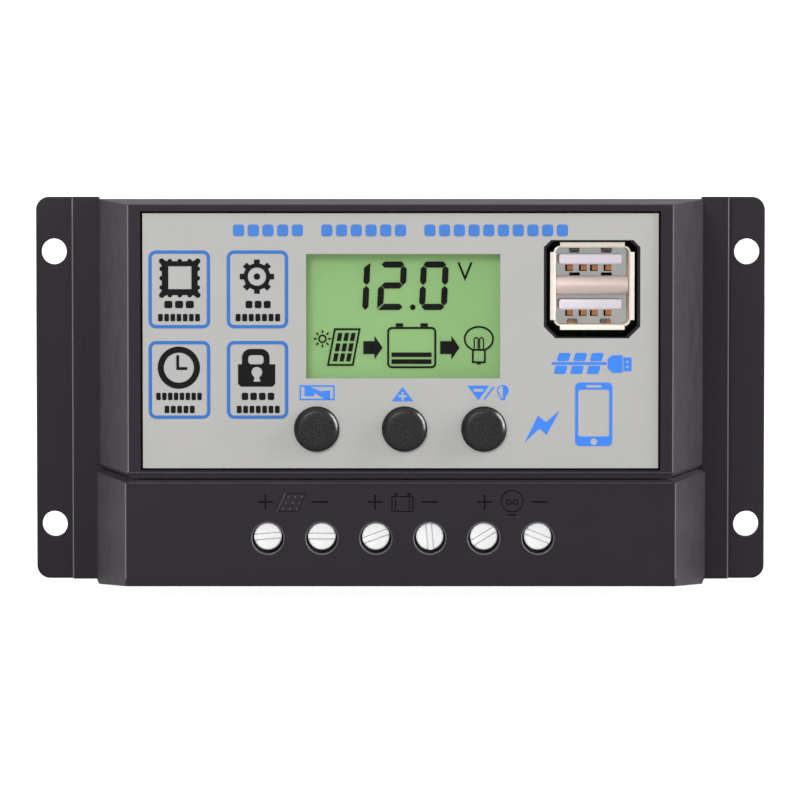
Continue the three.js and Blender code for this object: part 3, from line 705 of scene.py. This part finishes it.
def terminal_marks():
    """Plus and minus signs, a panel, a battery and a lamp, as outlines for the cover's front."""
    signs = (cross(1.3, MARK_LINE), rectangle(-1.4, 1.4, -MARK_LINE / 2, MARK_LINE / 2))
    marks = []
    for number in range(len(WAYS)):
        x = MARK_MIDDLE + (number - (len(WAYS) - 1) / 2) * MARK_PITCH
        marks += moved([signs[number % 2]], x, MARK_Z)
    battery = frame_line(-1.95, 1.95, -1.75, 1.05, 0.3, 0.2)
    for x in (-1.2, 1.2):
        battery += [rectangle(x - 0.35, x + 0.35, 1.15, 1.55), rectangle(x - 0.1, x + 0.1, -1.4, 0.7)]
    lamp = [circle(0, 0.15, 2.0), circle(0, 0.15, 1.8), rectangle(-0.75, 0.75, -2.45, -2.1)]
    for x in (-0.6, 0.6):
        lamp += [circle(x, 0, 0.5, 24), circle(x, 0, 0.3, 24)]
    marks += leaning_frame(*PANEL_X, *PANEL_Z, 0.1, PANEL_LEAN)
    return marks + moved(battery, MARK_MIDDLE, MARK_Z) + moved(lamp, MARK_MIDDLE + 2 * MARK_PITCH, MARK_Z)


def panel_dots():
    """The nine cells of the panel mark and its left edge, raised a little; their lighter colour is a
    painted highlight.
    """
    dots = []
    for column in range(3):
        for row in range(3):
            z = MARK_Z - 1.2 + row * CELL_PITCH[1]
            x = PANEL_X[0] + 0.7 + column * CELL_PITCH[0] + (z - PANEL_Z[0]) * PANEL_LEAN
            dots.append(rounded(x - CELL_HALF, x + CELL_HALF, z - CELL_HALF, z + CELL_HALF, 0.1, 3))
    dots.append(leaning(rectangle(PANEL_X[0] - 0.2, PANEL_X[0], *PANEL_Z), PANEL_LEAN, PANEL_Z[0]))
    return soften(plate(dots, *RAISED), 0.06, segments=2)


marks = terminal_marks()
mark_floor = COVER_FRONT - MARK_DEPTH
terminal_cover = cut_away(make_terminal_cover(), plate(marks, mark_floor, COVER_FRONT + 1))
piece("terminal_cover_moulding", terminal_cover, case_plastic, "case_plastic", "terminal_cover")
# The lips take the lighter colour: a painted highlight round each hole's mouth.
piece("terminal_hole_lips", make_access_lips(), lip_highlight_plastic, "case_plastic")
seam_floors, seam_beads = make_seam_strips()
piece("seam_groove_floors", seam_floors, case_plastic, "case_plastic")
# The beads take the lighter colour: painted highlight lines.
piece("seam_beads", seam_beads, bead_highlight_plastic, "case_plastic")
# Thin lighter strips down the covers' front edges and the plate's steps: painted highlight lines.
for node, place, look, slot in (
    ("upper_cover", (FRONT_HALF, -13.6, 33.3, COVER_FRONT), edge_highlight_plastic, "case_plastic"),
    ("terminal_cover", (LOW_FRONT_HALF, -32.4, -15.6, COVER_FRONT), edge_highlight_plastic, "case_plastic"),
    ("base_plate", (STEP_X, -34.8, 34.8, PLATE_FRONT), plate_edge_highlight, "anodised_plate"),
):
    piece(f"{node}_edges", highlight_strips(*place), look, slot)
# The marks' floors take a near-black sheet: painted shade.
piece("terminal_mark_shade", plate(marks, mark_floor, mark_floor + 0.1), mark_shade_black, "case_plastic")
piece("terminal_panel_dots", panel_dots(), dot_highlight_plastic, "case_plastic")

# ---- printing on the label

INK = (LABEL_FRONT - 0.01, LABEL_FRONT + 0.03)


def printed(name, outlines, ink):
    piece(name, plate(outlines, *INK), ink, "printed_label")


def chip_icon():
    """A square ring with three bumps along each side and a blob at each corner."""
    x, z = (-41.9, -35.6), (17.55, 23.5)
    half, other = (x[1] - x[0]) / 2, (z[1] - z[0]) / 2
    ring = []
    for turn in range(4):
        side = []
        for step in (-1, 0, 1):
            side += arc(step * half * 0.55, -other, 0.42, 180, 360, 6)
        side += arc(half, -other, 0.5, -160, 70, 8)
        ring += quarter_turned(side, turn)
        half, other = other, half
    return moved([ring], middle(x), middle(z)) + [rectangle(-40.76, -36.7, 18.6, 22.6)]


def gear_icon(root=2.35, tip=3.05, half=0.5, hole=1.6, hub=0.57, teeth=8):
    foot = math.asin(half / root)
    top = foot * root / tip
    corners = ((root, -foot), (tip, -top), (tip, top), (root, foot), (root, math.pi / teeth))
    tooth = [(reach * math.cos(a), reach * math.sin(a)) for reach, a in corners]
    outline = []
    for number in range(teeth):
        outline += quarter_turned(tooth, 4 * number / teeth)
    return moved([outline, circle(0, 0, hole), circle(0, 0, hub, 24)], -25.2, 20.8)


def clock_icon():
    hands = stroke([(-0.2, 2.2), (-0.2, -0.15), (1.5, -0.15)], 0.5)
    return moved([circle(0, 0, 3.72), circle(0, 0, 2.64), hands], -38.94, 4.8)


def padlock_icon():
    top, corner = 8.1, 1.5
    outside = [(-28.0, 1.46), (-22.5, 1.46), (-22.0, 1.96), (-22.0, 5.4), (-23.0, 5.4)]
    outside += arc(-23.0 - corner, top - corner, corner, 0, 90, 8)
    outside += arc(-27.85 + corner, top - corner, corner, 90, 180, 8)
    outside += [(-27.85, 5.4), (-28.55, 5.4), (-28.55, 1.96)]
    arch = rounded(-26.75, -24.05, 5.4, 7.0, 0.55)
    keyhole = arc(-25.23, 4.0, 0.95, -65, 245, 16) + [(-25.85, 2.35), (-24.6, 2.35)]
    return [outside, arch, keyhole]


ICON_COLUMNS = ((-44.25, -33.4), (-30.5, -19.7))
ICON_ROWS = ((11.7, 25.4), (-4.2, 9.5))
frames = []
for columns in ICON_COLUMNS:
    for rows in ICON_ROWS:
        frames += frame_line(*columns, *rows, 1.3, 0.6)
printed("icon_frame_print", frames, frame_ink)
printed("icon_print", chip_icon() + gear_icon() + clock_icon() + padlock_icon(), black_ink)

CAPTION_HALF = 0.65
CAPTIONS = (
    (-41.7, -36.05, 15.9, 3),
    (-42.7, -35.1, 13.6, 7),
    (-27.4, -22.6, 15.9, 3),
    (-29.1, -21.0, 13.6, 7),
    (-43.05, -34.8, -0.25, 8),
    (-41.6, -36.05, -2.55, 5),
    (-28.1, -22.0, -0.25, 4),
    (-28.9, -21.1, -2.55, 7),
)
captions = []
for x0, x1, z, letters in CAPTIONS:
    captions += word_blocks(x0, x1, z - CAPTION_HALF, z + CAPTION_HALF, [letters])
printed("caption_block_print", captions, black_ink)
printed("title_block_print", word_blocks(-29.7, 29.7, 27.85, 29.95, [5, 6, 10]), title_ink)


def button_icons():
    """Under the buttons: a winding line in a frame, an up arrow, and a down arrow, slash and lamp."""
    zigzag = [(-2.22, 1.05), (-1.28, 1.05), (0.61, 0.26), (2.27, 0.41), (2.27, -1.1), (1.34, -1.1)]
    zigzag += [(-0.55, 0), (-0.55, -0.61), (-2.22, -0.61)]
    mode = frame_line(-3.09, 3.09, -1.31, 1.32, 0.1, 0.27) + [zigzag]
    up = [[(-1.9, -1.12), (1.9, -1.12), (0, 1.4)]] + moved([cross(0.75, 0.4)], 0, -0.2)
    down = [[(-1.9, 1.26), (0, -1.37), (1.9, 1.26)], rectangle(-0.85, 0.85, 0.2, 0.7)]
    slash = stroke([(14.75, -0.75), (16.4, 1.4)], 0.3)
    bulb = arc(0, 0, 1.03, -60, 240, 20) + [(-0.42, -1.65), (0.42, -1.65)]
    hollow = arc(0, 0, 0.81, 90, 232, 10) + [(-0.2, -1.4), (0, -1.4)]
    icons = moved(mode, -14.64, 0.4) + moved(up, 0.38, 0) + moved(down, 13.68, 0.4)
    return icons + [slash] + moved([bulb, hollow], 18.0, 0.75)


def lead_icon():
    """A lead with a USB plug: three blocks on a line, the plug's body and its metal end."""
    blocks = []
    for x in (26.9, 29.8, 32.7):
        for low in (3.7, 5.95):
            blocks.append(leaning(rounded(x, x + 2.1, low, low + 1.45, 0.3, 3), 0.25, 3.7))
    line = rectangle(26.6, 36.2, 5.3, 5.8)
    body = [(36.4, 4.7), (37.2, 3.9), (39.0, 3.9), (39.0, 7.0), (37.2, 7.0), (36.4, 6.3)]
    end = rounded(39.15, 40.6, 4.2, 6.6, 0.1, 2)
    holes = [circle(39.85, z, 0.22, 16) for z in (4.95, 5.85)]
    return blocks + [line, body, end] + holes


def phone_icon():
    case = [rounded(-3.3, 3.25, -9.0, 2.2, 0.85), rounded(-2.75, 2.7, -7.3, 0.94, 0.4)]
    return moved(case + [rounded(-1.4, 1.4, 1.3, 1.75, 0.22, 3), circle(0, -8.2, 0.6, 24)], 34.0, 0)


bolt = [(28.02, -2.67), (25.7, -7.03), (24.45, -5.9), (21.84, -8.37), (24.2, -3.65), (25.55, -4.8)]
printed("button_icon_print", button_icons(), icon_ink)
printed("usb_icon_print", lead_icon(), icon_ink)
printed("phone_icon_print", phone_icon() + [bolt], icon_ink)

# ---- display

DISPLAY_X, DISPLAY_HEIGHTS, DISPLAY_Z = extent("lcd_glass")
REFLECTOR_FRONT = DISPLAY_HEIGHTS[1] - 0.4
SEGMENTS = (DISPLAY_HEIGHTS[1] - 0.28, DISPLAY_HEIGHTS[1] - 0.23)
DIGIT_LEAN = 0.045
DIGIT_Z = (14.89, 23.43)
DIGIT_LINE = 1.08


def digit(x0, lit, slanted="", wide=4.92):
    """A seven-segment digit. lit names segments a to g, clockwise from the top, with g in the middle.

    The slanted ones fill the corner that a neighbour leaves free, as in a 1 or a 2.
    """
    z0, z1 = DIGIT_Z
    x1, half = x0 + wide, (z0 + z1) / 2 + 0.05
    line, tip, end, low, gap = DIGIT_LINE, DIGIT_LINE / 2, 0.45, 0.75, 0.06
    left, right = x0 + line / 2, x1 - line / 2
    upper, lower = (half + gap, z1 - low), (z0 + low, half - gap)

    def across(z, end):
        """A bar with pointed ends, centred at the height z."""
        start, stop, top, bottom = x0 + end, x1 - end, z + line / 2, z - line / 2
        upper_side = [(start, z), (start + tip, top), (stop - tip, top)]
        return upper_side + [(stop, z), (stop - tip, bottom), (start + tip, bottom)]

    def upright(x, foot, head):
        a, b = x - line / 2, x + line / 2
        return [(x, head), (b, head - tip), (b, foot + tip), (x, foot), (a, foot + tip), (a, head - tip)]

    shapes = {
        "a": across(z1 - line / 2, end),
        "b": upright(right, *upper),
        "c": upright(right, *lower),
        "d": across(z0 + line / 2, end),
        "e": upright(left, *lower),
        "f": upright(left, *upper),
        "g": across(half, end + 0.15),
    }
    foot = [(left + line / 2, z0 + line + 0.13), (left - line / 2, z0 + 0.25)]
    free_corners = {
        "b": shapes["b"][2:5] + [(right - line / 2, z1 - line), (right + line / 2, z1 - 0.25)],
        "c": upright(right, z0, lower[1]),
        "d": [(x0 + 0.15, z0), (x0 + line + 0.12, z0 + line)] + shapes["d"][2:5],
        "e": shapes["e"][:2] + foot + shapes["e"][5:],
    }
    shapes.update({name: free_corners[name] for name in slanted})
    return [leaning(shapes[name], DIGIT_LEAN, z0) for name in lit]


def sun_and_panel():
    sun = [circle(0, 0, 0.76, 24), circle(0, 0, 0.47, 24)]
    for ray in range(8):
        sun.append(quarter_turned(stroke([(1.02, 0), (1.52, 0)], 0.3), ray / 2))
    lean, low = 0.19, 5.03
    outlines = moved(sun, -13.77, 9.8) + leaning_frame(-12.98, -8.28, low, 11.67, 0.34, lean)
    for column in (-12.1, -10.92, -9.77):
        for row in (5.83, 7.6, 9.42):
            outlines.append(leaning(rectangle(column, column + 0.76, row, row + 1.42), lean, low))
    return outlines


def arrow(x, z=8.26):
    half, tail, head, tip = 1.14, 1.98, 2.08, 3.42
    top = [(0, half), (tail, half), (tail, head), (tip, 0)]
    bottom = [(px, -pz) for px, pz in top[-2::-1]]
    return moved([top + bottom], x, z)


def battery_picture():
    outlines = frame_line(-2.36, 6.3, 4.62, 11.9, 0.85, 0.36)
    outlines += [rectangle(-0.83, 0.45, 11.93, 12.55), rectangle(3.5, 4.82, 11.93, 12.55)]
    return outlines + [rectangle(-1.6, 5.46, 6.6, 7.4), rectangle(-1.6, 5.46, 5.38, 6.2)]


def lamp_picture(x=13.8, z=9.8, line=0.32):
    """A round lamp over a square cap, with two filament loops."""
    cap, cap_z = 1.22, (5.52, 8.02)

    def glass(wide, tall, cut):
        """An ellipse less its lowest part, open where it is cut wide either side of the middle."""
        start = math.degrees(math.acos(cut / wide))
        return [(x + px, z + pz * tall / wide) for px, pz in arc(0, 0, wide, -start, 180 + start, 48)]

    outside = glass(2.66, 2.27, cap) + [(x - cap, cap_z[0]), (x + cap, cap_z[0])]
    hollow = glass(2.66 - line, 2.27 - line, 1.0)
    base = rectangle(x - cap + line, x + cap - line, cap_z[0] + line, cap_z[1] - line)
    outlines = [outside, hollow, base, rounded(x - 0.4, x + 0.4, cap_z[0] - 0.25, cap_z[0] - 0.02, 0.1, 3)]
    for loop in (x - 0.47, x + 0.47):
        path = [(loop - 0.34, 8.1)] + arc(loop, 9.68, 0.34, 180, 0, 8) + [(loop + 0.34, 8.1)]
        outlines.append(stroke(path, 0.22))
    return outlines


digits = digit(-10.6, "bc", "bc") + digit(-4.15, "abged", "de") + digit(3.22, "abcdef")
digits += [circle(2.15, 15.38, 0.49, 24), stroke([(10.2, 23.25), (11.35, 20.42), (12.5, 23.25)], 0.36)]
pictures = sun_and_panel() + battery_picture() + lamp_picture() + arrow(-6.57) + arrow(6.98)
pane = [rectangle(*DISPLAY_X, *DISPLAY_Z)]
reflector = soften(plate(pane, DISPLAY_HEIGHTS[0], REFLECTOR_FRONT), 0.15)
piece("lcd_reflector", reflector, display_back, "display_glass", "lcd_glass")
piece("lcd_digits", plate(digits, *SEGMENTS), segment_ink, "display_glass")
piece("lcd_pictures", plate(pictures, *SEGMENTS), segment_ink, "display_glass")
front_glass = soften(plate(pane, REFLECTOR_FRONT + 0.02, DISPLAY_HEIGHTS[1]), 0.15)
piece("lcd_front_glass", front_glass, glass.material, "display_glass", "lcd_glass")

# ---- buttons


def make_button(name):
    """The cap with its flange under the label, and the glossy cone round its face in near-black painted
    shade, as two bodies.
    """
    (x0, x1), (back, front), _ = extent(f"{name}_button")
    x = middle((x0, x1))
    flange = (x1 - x0) / 2
    flange_front = back + 0.9
    radius, face, fall = 3.85, 3.22, 0.55
    profile = [(0, back), (flange - 0.1, back), (flange, back + 0.1), (flange, flange_front - 0.1)]
    profile += [(flange - 0.1, flange_front), (radius - 0.1, flange_front), (radius - 0.1, front - fall)]
    profile += [(face - 0.06, front - 0.02), (face - 0.12, front), (2.2, front), (1.1, front), (0, front)]
    rim = [(face - 0.2, front - 0.1), (radius - 0.2, flange_front), (radius, flange_front + 0.1)]
    rim += [(radius, front - fall - 0.04), (radius - 0.04, front - fall + 0.04)]
    rim += [(face + 0.02, front - 0.06), (face - 0.05, front - 0.03)]
    return turned(x, BUTTON_Z, profile), turned(x, BUTTON_Z, rim + rim[:1])


for name in BUTTONS:
    cap, rim = make_button(name)
    node, key = f"{name}_button", f"{name}_key"
    piece(f"{node}_cap", cap, rubber.material, "button_plastic", node, rides=key)
    piece(f"{node}_rim", rim, button_rim_gloss_and_shade, "button_plastic", node, rides=key)

# ---- stacked USB outlet

SHEET = 0.35
FIT = 0.05
inner_x, inner_heights, inner_z = extent("usb_insulator")
PORT_X = (inner_x[0] - SHEET - FIT, inner_x[1] + SHEET + FIT)
PORT_Z = (inner_z[0] - SHEET - FIT, inner_z[1] + SHEET + FIT)
SHELL_FRONT = extent("usb_divider")[1][1] + 0.2
WALL_FRONT = extent("usb_divider")[1][0]
PORT_CORNER = 1.2
LIP_GAP = 1.1
TONGUE_X = (27.9, 39.2)
TONGUES = {"lower": (14.9, 16.8), "upper": (22.9, 24.8)}
CONTACTS = (30.03, 32.48, 34.45, 36.88)
SPRINGS = ((29.95, 31.55), (35.6, 37.25))


def lip_section(radius=0.12, curl=85, flat=0.54, steps=6):
    """A flared strip's section in (height, outward) points: up the wall, round a bend, then out flat."""
    inner = arc(SHELL_FRONT, radius, radius + SHEET, -90, curl - 90, steps)
    outer = arc(SHELL_FRONT, radius, radius, -90, curl - 90, steps)
    a = math.radians(curl)
    for side in (inner, outer):
        height, out = side[-1]
        side.append((height + flat * math.cos(a), out + flat * math.sin(a)))
    return [(SHELL_FRONT - 1, -SHEET)] + inner + outer[::-1] + [(SHELL_FRONT - 1, 0)]


def make_port_lips():
    """The four flared lips round the outlet's mouth."""
    strips = []
    centre = Vector((middle(PORT_X), 0, middle(PORT_Z)))
    length, reach = PORT_X[1] - PORT_X[0], PORT_Z[1] - PORT_Z[0]
    for turn in range(4):
        section = [(height, reach / 2 + out) for height, out in lip_section()]
        strip = soften(rail(section, -length / 2 + LIP_GAP, length / 2 - LIP_GAP), 0.1, segments=2)
        strip.transform(Matrix.Translation(centre) @ Matrix.Rotation(math.pi / 2 * turn, 4, "Y"))
        strips.append(strip)
        length, reach = reach, length
    return joined(*strips)


def make_divider(nose=1.6):
    """The pressed divider between the two outlets, with a rounded nose."""
    x, (back, front), z = extent("usb_divider")
    half = (z[1] - z[0]) / 2
    bow = arc(0, middle(z), half, 90, -90, 16)
    section = [(back, z[0]), (back, z[1])] + [(front - nose + out * nose / half, pz) for out, pz in bow]
    return soften(rail(section, *x), 0.06, segments=2)


def make_spring(x, wall, inward):
    """A leaf sprung from the shell's top or bottom wall, bent towards the plug."""
    bends = ((31.6, 0.0), (30.6, 0.35), (29.0, 0.68), (27.0, 0.76), (25.2, 0.5), (24.2, 0.1))
    section = stroke([(height, wall + inward * reach) for height, reach in bends], 0.18)
    return soften(rail(section, *x), 0.04, segments=1)


TOP_WALL = (PORT_Z[1] - SHEET - 0.05, -1)
LOW_WALL = (PORT_Z[0] + SHEET + 0.05, 1)
# The bottom leaves are steel on their side towards the middle, and copper on the other.
(left_start, left_end), (right_start, right_end) = SPRINGS
left_middle, right_middle = middle(SPRINGS[0]), middle(SPRINGS[1])
low_steel = ((left_middle - 0.1, left_end - 0.3), (right_start - 0.2, right_middle - 0.1))
low_copper = ((left_start - 0.35, left_middle - 0.15), (right_middle - 0.05, right_end - 0.15))
steel_leaves = [make_spring(x, *TOP_WALL) for x in SPRINGS] + [make_spring(x, *LOW_WALL) for x in low_steel]
copper_leaves = [make_spring(x, *LOW_WALL) for x in low_copper]
walls = plate(frame_line(*PORT_X, *PORT_Z, PORT_CORNER, SHEET, 8), extent("usb_shell")[1][0], SHELL_FRONT)
piece("usb_shell_tube", soften(walls, 0.06, segments=2), shell_tin, "usb_metal", "usb_shell")
piece("usb_shell_lips", make_port_lips(), shell_tin, "usb_metal", "usb_shell")
piece("usb_divider_pressing", make_divider(), divider_tin, "usb_divider", "usb_divider")
back_wall = plate([rounded(*inner_x, *inner_z, PORT_CORNER - SHEET, 8)], inner_heights[0], WALL_FRONT)
piece("usb_back_wall", soften(back_wall, 0.1, segments=2), port_wall_painted_glow, "usb_insulator", "usb_insulator")
piece("usb_shell_springs", joined(*steel_leaves), spring_steel, "usb_metal")
piece("usb_copper_leaves", joined(*copper_leaves), leaf_brass, "usb_metal")
for level, tongue_z in TONGUES.items():
    tongue = box_solid(TONGUE_X, (WALL_FRONT + 0.02, inner_heights[1]), tongue_z)
    tongue = soften(tongue, 0.5, segments=5)
    piece(f"usb_{level}_tongue", tongue, port_white, "usb_insulator", "usb_insulator")
    slots, strips = [], []
    top = tongue_z[0] - 0.1
    for x in CONTACTS:
        slots.append(rounded(x - 0.7, x + 0.68, top - 1.15, top, 0.1, 3))
        strips.append(rounded(x - 0.36, x + 0.62, top - 1.0, top - 0.1, 0.1, 3))
    if level == "upper":
        top = extent("usb_divider")[2][1]
        slots += [rounded(x0 + 0.1, x1 + 0.4, top + 0.02, top + 0.55, 0.08, 3) for x0, x1 in SPRINGS]
    # Near-black sheets behind the contacts and beside the springs: painted shade in the slots.
    slot_shade_sheets = plate(slots, WALL_FRONT, WALL_FRONT + 0.04)
    piece(f"usb_{level}_contact_slot_shades", slot_shade_sheets, slot_shade_black, "usb_insulator")
    strip_body = soften(plate(strips, WALL_FRONT + 0.04, WALL_FRONT + 0.4), 0.06, segments=2)
    piece(f"usb_{level}_contacts", strip_body, contact_copper_glowing, "usb_metal")

# ---- terminals

SLOT_ANGLES = dict(zip(WAYS, (5, 0, 20, 95, 32, -22)))
SLOT_HALF = 0.42
SLOT_DEPTH = 0.8
GROOVE = 0.19
THREAD_PITCH = 0.7
THREAD_DEPTH = 0.25


def make_terminal_screw(way):
    """A slotted screw: the slot's floor is crowned almost to the top, so only its two sides are deep."""
    (x0, x1), (tip, front), _ = extent(f"{way}_screw")
    x = WAY_X[way]
    head = (x1 - x0) / 2
    head_back = front - 2.8
    shaft, rim = 2.0, 0.34
    profile = [(0, tip), (shaft * 0.6, tip), (shaft - THREAD_DEPTH, tip + 0.8)]
    profile += thread(shaft, THREAD_DEPTH, THREAD_PITCH, tip + 1, head_back - 0.4)
    profile += [(shaft, head_back - 0.2), (shaft, head_back)]
    profile += [(head - 0.1, head_back), (head, head_back + 0.1)]
    profile += [(head - rim + out, front - rim + up) for out, up in arc(0, 0, rim, 0, 90, 6)]
    profile.append((0, front))
    body = turned(x, WAY_Z, profile)
    far, half = head * 1.5, SLOT_HALF + GROOVE
    place = Matrix.Translation((x, 0, WAY_Z)) @ Matrix.Rotation(-math.radians(SLOT_ANGLES[way]), 4, "Y")
    slot = box_solid((-far, far), (front - SLOT_DEPTH, front + 1), (-half, half))
    floor = (front - SLOT_DEPTH - 0.1, front - 0.03)
    crown = soften(box_solid((-head, head), floor, (-SLOT_HALF, SLOT_HALF)), 0.12)
    for solid in (slot, crown):
        solid.transform(place)
    return cut_away(cut_away(body, slot), crown, "UNION")


for way in WAYS:
    screw, clamp, bar = f"{way}_screw", f"{way}_clamp", f"{way}_bar"
    screw_body = make_terminal_screw(way)
    piece(f"{way}_slotted_screw", screw_body, screw_nickel_painted_glow, "nickel_screw", screw, rides=screw)
    clamp_body = soften(cad_copy(clamp), 0.12)
    piece(f"{way}_clamp_cage", clamp_body, clamp_steel, "clamp_steel", clamp, rides=clamp)
    bar_body = soften(cad_copy(bar), 0.1, segments=2)
    piece(f"{way}_current_bar", bar_body, tinned_brass, "tinned_brass", bar)
for terminal in TERMINALS:
    node = f"{terminal}_terminal_block"
    block = soften(cad_copy(node), 0.12, lambda edge: edge.calc_length() > 1, 2)
    piece(f"{terminal}_block_moulding", block, terminal_plastic, "terminal_plastic", node)

# ---- back of the plate

RECESS_LONG = 1.6
RECESS_NARROW = 0.38


def make_cover_screw(node):
    """A countersunk cover screw with a cross recess, a plain tip and a ridged shaft."""
    (x0, x1), (back, tip), z_range = extent(node)
    x, z, head = (x0 + x1) / 2, middle(z_range), (x1 - x0) / 2
    shaft = 1.5
    profile = [(0, back), (head - 0.15, back), (head, back + 0.12), (shaft, back + 1.5)]
    profile += thread(shaft, 0.2, 0.5, back + 2, tip - 1)
    profile += [(shaft / 2, tip), (0, tip)]
    body = turned(x, z, profile, 64)
    long_way, narrow_way = (x - RECESS_LONG, x + RECESS_LONG), (z - RECESS_NARROW, z + RECESS_NARROW)
    for turn in (0, 90):
        body = cut_away(body, box_solid(long_way, (back - 1, back + 1.05), narrow_way, turn))
    return soften(body, 0.04, lambda edge: edge.verts[0].co.y > -back - 0.4 and edge.calc_length() > 0.3, 2)


for node in COVER_SCREWS:
    piece(f"{node}_cross_head", make_cover_screw(node), zinc, "zinc_screw", node)

# ---- parts kept as the frame has them

KEPT = (
    (board.material, ["main_pcb"]),
    (blank_label, ["rating_label"]),
    (backlight_plastic, ["lcd_backlight"]),
    (board_fill, ["lcd_support_left", "lcd_support_right", "lcd_pin_header"]),
    (board_fill, [f"{name}_{part}" for name in BUTTONS for part in ("switch", "plunger")]),
    (sleeve, ["input_capacitor", "usb_capacitor"]),
    (ferrite, ["usb_inductor"]),
    (epoxy, ["controller_chip"] + [f"{terminal}_mosfet" for terminal in TERMINALS]),
    (spacer_plastic, [f"pcb_spacer_{number}" for number in range(1, 5)]),
)
for material, nodes in KEPT:
    for node in nodes:
        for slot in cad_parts[node].material_slots:
            slot.material = material

# ---- floor, light and camera

FLOOR_GAP = 0.3
FLOOR_HALF = 3000


def mix_shaders(tree, factor, first, second, output):
    """Two shaders mixed by a factor and led to the tree's output."""
    mix = shader_node(tree, "MixShader", Fac=factor)
    tree.links.new(first, mix.inputs[1])
    tree.links.new(second, mix.inputs[2])
    tree.links.new(mix.outputs["Shader"], tree.nodes[output].inputs["Surface"])


def make_floor():
    """A pale floor just under the object: thinly diffuse, and see-through from below."""
    low = cad_box[0].z / MM - FLOOR_GAP
    mesh = bpy.data.meshes.new("floor")
    square = rectangle(-FLOOR_HALF, FLOOR_HALF, -FLOOR_HALF, FLOOR_HALF)
    corners = [(x * MM, y * MM, low * MM) for x, y in square]
    mesh.from_pydata(corners, [], [(0, 1, 2, 3)])
    finish = Finish("floor", 0.9, specular=0.0)
    finish.paint(finish.colour(linear(238, 238, 238), 0.01, 200.0))
    side = shader_node(finish.tree, "NewGeometry").outputs["Backfacing"]
    clear = shader_node(finish.tree, "BsdfTransparent").outputs["BSDF"]
    thinness = finish.spread(side, 0.7, 1.0, 0.0, 1.0)
    mix_shaders(finish.tree, thinness, finish.surface.outputs["BSDF"], clear, "Material Output")
    mesh.materials.append(finish.material)
    floor = in_scene("floor", mesh)


ROOM_LEVELS = {"To Min": 0.27, "To Max": 0.8}
BACKDROP = 1.4
WHITE = (1, 1, 1, 1)


def make_world():
    """White to the camera; to everything else a soft room that is brighter overhead."""
    world = bpy.data.worlds.new("studio")
    bpy.context.scene.world = world
    world.use_nodes = True
    tree = world.node_tree
    direction = shader_node(tree, "TexCoord").outputs["Generated"]
    height = shader_node(tree, "SeparateXYZ", Vector=direction).outputs["Z"]
    strength = shader_node(tree, "MapRange", Value=height, **ROOM_LEVELS).outputs["Result"]
    room = fed(tree, tree.nodes["Background"], {"Color": WHITE, "Strength": strength})
    backdrop = shader_node(tree, "Background", Color=WHITE, Strength=BACKDROP)
    camera_ray = shader_node(tree, "LightPath").outputs["Is Camera Ray"]
    mix_shaders(tree, camera_ray, room.outputs[0], backdrop.outputs[0], "World Output")


def softbox(name, place, size, power, target=(0, -20, 0)):
    """A rectangular area light that the camera doesn't see."""
    light = bpy.data.lights.new(name, "AREA")
    light.shape = "RECTANGLE"
    light.size, light.size_y = (s * MM for s in size)
    light.energy = power
    lamp = in_scene(name, light)
    lamp.location = Vector(place) * MM
    lamp.rotation_euler = (Vector(target) - Vector(place)).to_track_quat("-Z", "Y").to_euler()
    lamp.visible_camera = False


def make_camera(distance=750, elevation=2.5, target=(-0.09, -2.4, -2.25), lens=184):
    """A nearly level view from straight in front and far off."""
    camera = bpy.data.cameras.new("camera")
    camera.sensor_width = 36
    camera.lens = lens
    camera.clip_start = 0.01
    shot = in_scene("camera", camera)
    rise = math.radians(elevation)
    back = Vector((0, -math.cos(rise), math.sin(rise)))
    shot.location = (Vector(target) + back * distance) * MM
    shot.rotation_euler = (-back).to_track_quat("-Z", "Y").to_euler()
    bpy.context.scene.camera = shot


make_floor()
make_world()
softbox("key", (-330, -1000, 470), (420, 420), 6.0)
softbox("left", (-900, 200, 100), (300, 500), 4.4)
softbox("right", (900, -100, 380), (300, 850), 17.0)
make_camera()
bpy.context.scene.view_settings.view_transform = "Standard"
